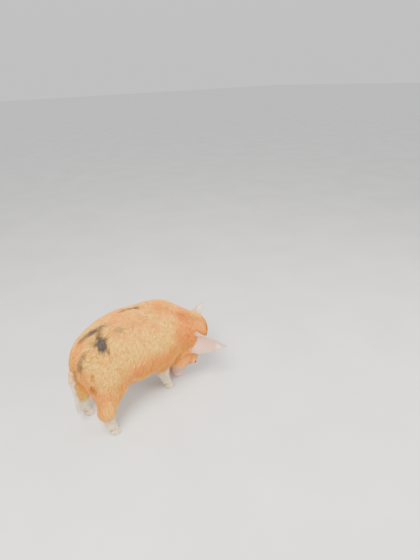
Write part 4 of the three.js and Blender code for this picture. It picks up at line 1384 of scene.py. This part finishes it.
print("tints", len(TINTS) + len(HEAD_TINTS), "markings", len(MARKINGS))

# %% [markdown]
# Materials are trees of nodes. This helper adds nodes and links them from left to right, so that each
# recipe below stays short. A patch measures how far a point is from the middle of its egg, in the egg's own
# half lengths, and lays its colour where that is below one.

# %% A helper for nodes
class Nodes:
    def __init__(self, tree):
        self.tree = tree

    def put(self, socket, value):
        if isinstance(value, bpy.types.NodeSocket):
            self.tree.links.new(value, socket)
        else:
            socket.default_value = value

    def add(self, kind, inputs=(), **settings):
        node = self.tree.nodes.new(kind)
        for key, value in settings.items():
            setattr(node, key, value)
        for slot_name, value in dict(inputs).items():
            self.put(node.inputs[slot_name], value)
        return node

    def noise(self, vector, scale, detail=3.0, rough=0.5):
        inputs = {"Vector": vector, "Scale": scale, "Detail": detail, "Roughness": rough}
        return self.add("ShaderNodeTexNoise", inputs).outputs["Fac"]

    def stretched(self, vector, scale):
        return self.add("ShaderNodeMapping", {"Vector": vector, "Scale": scale}).outputs[0]

    def ranged(self, value, low, high, to_low=0.0, to_high=1.0):
        inputs = {"Value": value, "From Min": low, "From Max": high, "To Min": to_low, "To Max": to_high}
        return self.add("ShaderNodeMapRange", inputs, interpolation_type="SMOOTHSTEP").outputs[0]

    def mixed(self, amount, first, second, way="MIX"):
        node = self.add("ShaderNodeMix", data_type="RGBA", blend_type=way, clamp_result=True)
        for number, value in ((0, amount), (6, first), (7, second)):
            self.put(node.inputs[number], value)
        return node.outputs[2]

    def attribute(self, name, output="Fac"):
        return self.add("ShaderNodeAttribute", attribute_name=name).outputs[output]

    def vector_maths(self, way, inputs, output=0):
        return self.add("ShaderNodeVectorMath", inputs, operation=way).outputs[output]

    def height(self, vector):
        return self.add("ShaderNodeSeparateXYZ", {0: vector}).outputs["Z"]

    def own_place(self):
        return self.add("ShaderNodeTexCoord").outputs["Object"]

    def patch(self, vector, colour, start, end, half, strength, softness, under):
        start, end = Vector(start), Vector(end)
        along = end - start
        inputs = {
            "Vector": vector,
            "Location": (start + end) / 2 + Vector(MOVE),
            "Rotation": along.to_track_quat("X", "Z").to_euler(),
            "Scale": (along.length / 2 + half, half, half * 1.4),
        }
        local = self.add("ShaderNodeMapping", inputs, vector_type="TEXTURE").outputs[0]
        away = self.vector_maths("LENGTH", {0: local}, "Value")
        amount = self.ranged(away, 1 + softness / 2, 1 - softness / 2, 0.0, strength)
        return self.mixed(amount, under, colour)


print("recipes can use", [name for name in vars(Nodes) if not name.startswith("_")])

# %% [markdown]
# The group starts with ginger, clouded with gold and streaked with orange along the hair. A place is shaken
# a little by noise before the patches look at it, which gives them ragged edges. Towards the top of the back
# a duller, deeper ginger is painted as shade, where the key lamp lights most, and the lower legs are cream.

# %% The markings group
SHAKE = 0.030
# heights over which the painted shade on the top of the back grows, and its strength
TOP_SHADE_FROM, TOP_SHADE_FULL, TOP_SHADE_STRENGTH = 0.33, 0.42, 0.30
SOCKS_TOP, SOCKS_FULL, SOCKS_STRENGTH = 0.128, 0.072, 0.95
group = bpy.data.node_groups.new("markings", "ShaderNodeTree")
group.interface.new_socket("Position", in_out="INPUT", socket_type="NodeSocketVector")
group.interface.new_socket("Ear", in_out="INPUT", socket_type="NodeSocketFloat")
group.interface.new_socket("Color", in_out="OUTPUT", socket_type="NodeSocketColor")
kit = Nodes(group)
asked = kit.add("NodeGroupInput")
position = asked.outputs["Position"]
clouds = kit.noise(position, 9.0, 3)
streaks = kit.noise(kit.stretched(position, (70, 45, 9)), 1.0, 4, 0.55)
ragged_inputs = {"Vector": kit.stretched(position, (70, 70, 26)), "Scale": 1.0, "Detail": 3.0}
ragged = kit.add("ShaderNodeTexNoise", ragged_inputs).outputs["Color"]
moved = kit.vector_maths("SUBTRACT", {0: ragged, 1: (0.5, 0.5, 0.5)})
moved = kit.vector_maths("SCALE", {0: moved, "Scale": SHAKE})
shaken = kit.vector_maths("ADD", {0: position, 1: moved})
colour = kit.mixed(kit.ranged(clouds, 0.35, 0.65), GINGER, GOLD)
colour = kit.mixed(kit.ranged(streaks, 0.42, 0.62, 0.0, 0.35), colour, ORANGE)
height_of_place = kit.height(shaken)
for patch in TINTS:
    colour = kit.patch(shaken, *patch, under=colour)
# painted shade: the top of the back, which the key lamp lights most, is toned down to a duller, deeper ginger
back = kit.ranged(height_of_place, TOP_SHADE_FROM, TOP_SHADE_FULL, 0.0, TOP_SHADE_STRENGTH)
colour = kit.mixed(back, colour, TOP_SHADE_GINGER)
socks = kit.ranged(height_of_place, SOCKS_TOP, SOCKS_FULL, 0.0, SOCKS_STRENGTH)
colour = kit.mixed(socks, colour, CREAM)
for patch in MARKINGS + HEAD_TINTS:
    colour = kit.patch(shaken, *patch, under=colour)
print("nodes for the body", len(group.nodes))

# %% [markdown]
# Ears are pink where the thin skin shows and pale at the tip. Their patches would reach onto the head, so
# they count only where the mesh says that it is an ear. The tail is nearly white down to its tassel.

# %% Ears and tail join the group
EAR_PATCH = (0.018, 0.085, 0.046, 0.92, 0.3)
EAR_TIP_PATCH = (0.092, 0.120, 0.022, 0.85, 0.8)
EAR_COLOURS = {RIGHT_EAR: PINK, LEFT_EAR: EAR_BACK}
flesh_colour = colour
for number, (seat, direction) in ear_lines.items():
    for patch_colour, values in ((EAR_COLOURS[number], EAR_PATCH), (WHITE, EAR_TIP_PATCH)):
        ends = [seat + direction * way_along for way_along in values[:2]]
        colour = kit.patch(shaken, patch_colour, *ends, *values[2:], under=colour)
colour = kit.mixed(asked.outputs["Ear"], flesh_colour, colour)
tail_places = [TAIL_POINTS[0] + [-0.02, 0, -0.02], TAIL_POINTS[4] + [0, 0, -0.05]]
colour = kit.patch(position, WHITE, *tail_places, 0.015, 0.85, 0.4, under=colour)
kit.add("NodeGroupOutput", {"Color": colour})
print("nodes in the markings group", len(group.nodes))

# %% [markdown]
# Each tuft differs a little in tone, and is painted slightly darker towards its root as shade near the skin,
# under the tufts that lie over it. Thick dry hair has a soft sheen and no mirror-like gloss. A tuft asks for
# the markings at its root's place, so it has one colour along its length.

# %% Coat material
def new_material(name):
    material = bpy.data.materials.new(name)
    material.use_nodes = True
    kit = Nodes(material.node_tree)
    return material, kit, material.node_tree.nodes["Principled BSDF"]


def marked(kit, vector):
    node = kit.add("ShaderNodeGroup", node_tree=group)
    kit.put(node.inputs["Position"], vector)
    kit.put(node.inputs["Ear"], kit.attribute("ear"))
    return node.outputs[0]


PALE_EAR_HAIR = paint(246, 218, 196)
DARK_HAIR = paint(226, 198, 170)
ROOT_SHADE = paint(220, 204, 186)
LIGHTER = (1.2, 1.2, 1.05, 1)
hair, kit, shader = new_material("coat_hair")
root = kit.attribute("root", "Vector")
tone_value = kit.attribute("tone")
base = kit.mixed(kit.attribute("pale"), marked(kit, root), PALE_EAR_HAIR)
light = kit.mixed(1.0, base, LIGHTER, "MULTIPLY")
dark = kit.mixed(1.0, base, DARK_HAIR, "MULTIPLY")
toned = kit.mixed(kit.ranged(tone_value, 0.0, 0.5), dark, base)
toned = kit.mixed(kit.ranged(tone_value, 0.5, 1.0), toned, light)
# painted shade: each tuft is darkened towards its root, near the skin under the tufts above it
shadow = kit.mixed(1.0, toned, ROOT_SHADE, "MULTIPLY")
hair_colour = kit.mixed(kit.ranged(kit.attribute("along"), 0.0, 0.7), shadow, toned)
kit.put(shader.inputs["Base Color"], hair_colour)
kit.put(shader.inputs["Roughness"], kit.ranged(kit.noise(root, 900.0, 2), 0.3, 0.7, 0.55, 0.75))
shader.inputs["Sheen Weight"].default_value = 0.04
shader.inputs["Specular IOR Level"].default_value = 0.2
for piece in coat:
    piece.data.materials.append(hair)
print("coat pieces with hair", len(coat))

# %% [markdown]
# Skin shows on the snout, round the eyes and between the tufts. It has the markings' colour with a pink
# flush, darker pores, fine folds and a little light that passes through it.

# %% Skin material
FLUSH = paint(196, 140, 118)
PORE = paint(150, 100, 82)
hide, kit, shader = new_material("skin_hide")
here = kit.own_place()
base = marked(kit, here)
flushed = kit.mixed(kit.ranged(kit.noise(here, 45.0, 4), 0.35, 0.7, 0.15, 0.45), base, FLUSH)
pores = kit.add("ShaderNodeTexVoronoi", {"Vector": here, "Scale": 700.0}).outputs["Distance"]
flushed = kit.mixed(kit.ranged(pores, 0.5, 0.1, 0.0, 0.25), flushed, PORE)
kit.put(shader.inputs["Base Color"], flushed)
kit.put(shader.inputs["Roughness"], kit.ranged(kit.noise(here, 120.0, 3), 0.3, 0.7, 0.48, 0.68))
folds = kit.noise(kit.stretched(here, (90, 90, 40)), 1.0, 5, 0.6)
bump = kit.add("ShaderNodeBump", {"Height": folds, "Strength": 0.35, "Distance": 0.0012})
fine_bump = kit.add("ShaderNodeBump", {"Height": pores, "Strength": 0.35, "Distance": 0.0004})
kit.put(fine_bump.inputs["Normal"], bump.outputs[0])
kit.put(shader.inputs["Normal"], fine_bump.outputs[0])
shader.inputs["Subsurface Weight"].default_value = 0.08
shader.inputs["Subsurface Radius"].default_value = (0.006, 0.003, 0.002)
ear_points = ((point_part == RIGHT_EAR) | (point_part == LEFT_EAR)).astype(np.float32)
skin_mesh.attributes.new("ear", "FLOAT", "POINT").data.foreach_set("value", ear_points)
skin_mesh.materials.append(hide)
print("points on the ears", int(ear_points.sum()))

# %% [markdown]
# Hoof horn grows down in fine streaks, with bands across it, and is stained at the sole. Pale horn goes
# with the cream legs.

# %% Horn material
HORN_PALE = paint(232, 214, 178)
HORN_DARK = paint(184, 162, 130)
HORN_BAND = paint(220, 208, 180)
SOLE_STAIN = paint(104, 90, 72)
horn, kit, shader = new_material("hoof_horn")
here = kit.own_place()
bands = kit.noise(kit.stretched(here, (16, 16, 260)), 1.0, 2)
streak = kit.noise(kit.stretched(here, (210, 210, 16)), 1.0, 4, 0.6)
colour = kit.mixed(kit.ranged(streak, 0.35, 0.65), HORN_PALE, HORN_DARK)
colour = kit.mixed(kit.ranged(bands, 0.4, 0.7, 0.0, 0.22), colour, HORN_BAND)
colour = kit.mixed(kit.ranged(kit.height(here), 0.009, 0.0, 0.0, 0.55), colour, SOLE_STAIN)
kit.put(shader.inputs["Base Color"], colour)
kit.put(shader.inputs["Roughness"], kit.ranged(streak, 0.3, 0.7, 0.38, 0.62))
bump = kit.add("ShaderNodeBump", {"Height": bands, "Strength": 0.4, "Distance": 0.0006})
kit.put(shader.inputs["Normal"], bump.outputs[0])
for piece in horn_pieces:
    piece.data.materials.append(horn)
print("pieces of horn", len(horn_pieces))

# %% [markdown]
# The eye's colours depend on how far a point lies out along the eye's own axis: the pupil in the middle,
# then a brown iris with fine rays, then the ball's brownish edge. A clear wet coat lies over it.

# %% Eye material
IRIS_DARK = paint(60, 36, 22)
IRIS_LIGHT = paint(98, 62, 36)
PUPIL = paint(8, 6, 6)
EYE_EDGE = paint(120, 92, 80)
RAYS = 1500
for ball, eye in eye_pieces:
    wet, kit, shader = new_material(f"{eye['name']}_wet")
    local = kit.vector_maths("SUBTRACT", {0: kit.own_place(), 1: Vector(eye["centre"] + MOVE)})
    facing = kit.vector_maths("DOT_PRODUCT", {0: local, 1: Vector(eye["axes"][:, 2])}, "Value")
    ray = kit.noise(kit.stretched(local, (RAYS, RAYS, RAYS)), 1.0, 3)
    iris = kit.mixed(kit.ranged(ray, 0.35, 0.65), IRIS_DARK, IRIS_LIGHT)
    colour = kit.mixed(kit.ranged(facing, 0.0100, 0.0106), iris, PUPIL)
    colour = kit.mixed(kit.ranged(facing, 0.0086, 0.0074), colour, EYE_EDGE)
    kit.put(shader.inputs["Base Color"], colour)
    kit.put(shader.inputs["Roughness"], kit.ranged(ray, 0.3, 0.7, 0.05, 0.12))
    shader.inputs["Coat Weight"].default_value = 0.25
    shader.inputs["Specular IOR Level"].default_value = 0.4
    ball.data.materials.append(wet)
print("wet eyes", len(eye_pieces))

# %% [markdown]
# The floor is a wide pale sheet, so wide that its edge is only a soft line far away.

# %% Floor
FLOOR_HALF = 40.0
FLOOR_STEPS = 24
PLASTER_DARK = paint(214, 212, 208)
PLASTER_LIGHT = paint(222, 220, 216)
line = np.linspace(-FLOOR_HALF, FLOOR_HALF, FLOOR_STEPS + 1)
floor_points = np.stack(np.meshgrid(line, line, [0.0], indexing="ij"), -1).reshape(-1, 3)
index = np.arange((FLOOR_STEPS + 1) ** 2).reshape(FLOOR_STEPS + 1, FLOOR_STEPS + 1)
quad = [index[:-1, :-1], index[1:, :-1], index[1:, 1:], index[:-1, 1:]]
floor = bpy.data.objects.new("floor", new_mesh("floor", floor_points, np.stack(quad, -1).reshape(-1, 4)))
bpy.context.scene.collection.objects.link(floor)
plaster, kit, shader = new_material("floor_plaster")
here = kit.own_place()
colour = kit.mixed(kit.ranged(kit.noise(here, 3.0, 5), 0.3, 0.7), PLASTER_DARK, PLASTER_LIGHT)
kit.put(shader.inputs["Base Color"], colour)
kit.put(shader.inputs["Roughness"], kit.ranged(kit.noise(here, 40.0, 3), 0.3, 0.7, 0.7, 0.9))
floor.data.materials.append(plaster)
print("floor", 2 * FLOOR_HALF, "metres wide")

# %% [markdown]
# The light is a broad sky with one large soft lamp high on the left, as on a bright day with thin cloud,
# and a weaker one in front on the right that lifts the legs and face out of the shade.

# %% Lamps
LAMP_AIM = (0, 0, 0.2)


def lamp(name, place, aim, size, power, colour):
    light = bpy.data.lights.new(name, "AREA")
    light.shape = "DISK"
    light.size = size
    light.energy = power
    light.color = colour
    lamp_object = bpy.data.objects.new(name, light)
    lamp_object.location = place
    lamp_object.rotation_euler = (Vector(aim) - Vector(place)).to_track_quat("-Z", "Y").to_euler()
    bpy.context.scene.collection.objects.link(lamp_object)
    return lamp_object


key = lamp("key_light", (-0.9, -0.9, 2.4), LAMP_AIM, 1.2, 145, (1.0, 0.95, 0.86))
fill = lamp("fill_light", (1.6, -1.6, 1.3), LAMP_AIM, 2.0, 42, (1.0, 0.97, 0.93))
print("lamps of", key.data.energy, "and", fill.data.energy, "watts")

# %% Sky
SKY_STRENGTH = 1.15
SKY_LOW = (0.78, 0.78, 0.78, 1)
SKY_HIGH = (0.93, 0.96, 1.0, 1)
world = bpy.data.worlds.new("sky")
world.use_nodes = True
sky = Nodes(world.node_tree)
background = world.node_tree.nodes["Background"]
height_in_sky = sky.height(sky.add("ShaderNodeTexCoord").outputs["Generated"])
sky.put(background.inputs["Color"], sky.mixed(sky.ranged(height_in_sky, 0.0, 0.8), SKY_LOW, SKY_HIGH))
background.inputs["Strength"].default_value = SKY_STRENGTH
bpy.context.scene.world = world
print("sky strength", SKY_STRENGTH)

# %% [markdown]
# The camera stands where the photograph was taken: 1.18 m above the ground, looking down. The uprights of
# the scene meet at a point far below the picture, which gives its tilt and roll, and the pig's length
# gives its heading.

# %% Camera
LENS_PIXELS = 379.0
PICTURE_HIGH = 560.0
SENSOR = 36.0
CAMERA_PLACE = np.array([-0.3854, -1.1598, 1.180])
DOWN_IN_CAMERA = np.array([30.0, -710.0, -LENS_PIXELS])
HEADING = math.radians(34)
camera_up = unit(-DOWN_IN_CAMERA)
ahead = np.array([0, 0, -1.0])
ahead = unit(ahead - camera_up * (ahead @ camera_up))
right = np.cross(ahead, camera_up)
pig_x = math.cos(HEADING) * right + math.sin(HEADING) * ahead
pig_y = -math.sin(HEADING) * right + math.cos(HEADING) * ahead
camera_data = bpy.data.cameras.new("camera")
camera_data.sensor_width = SENSOR
camera_data.lens = LENS_PIXELS / PICTURE_HIGH * SENSOR
camera = bpy.data.objects.new("camera", camera_data)
turned = Matrix(np.stack([pig_x, pig_y, camera_up]).tolist())
camera.matrix_world = Matrix.Translation(Vector(CAMERA_PLACE + MOVE)) @ turned.to_4x4()
bpy.context.scene.collection.objects.link(camera)
bpy.context.scene.camera = camera
print("lens", round(camera_data.lens, 2), "camera at", tuple(round(v, 3) for v in camera.location))

# %% [markdown] End of the scene
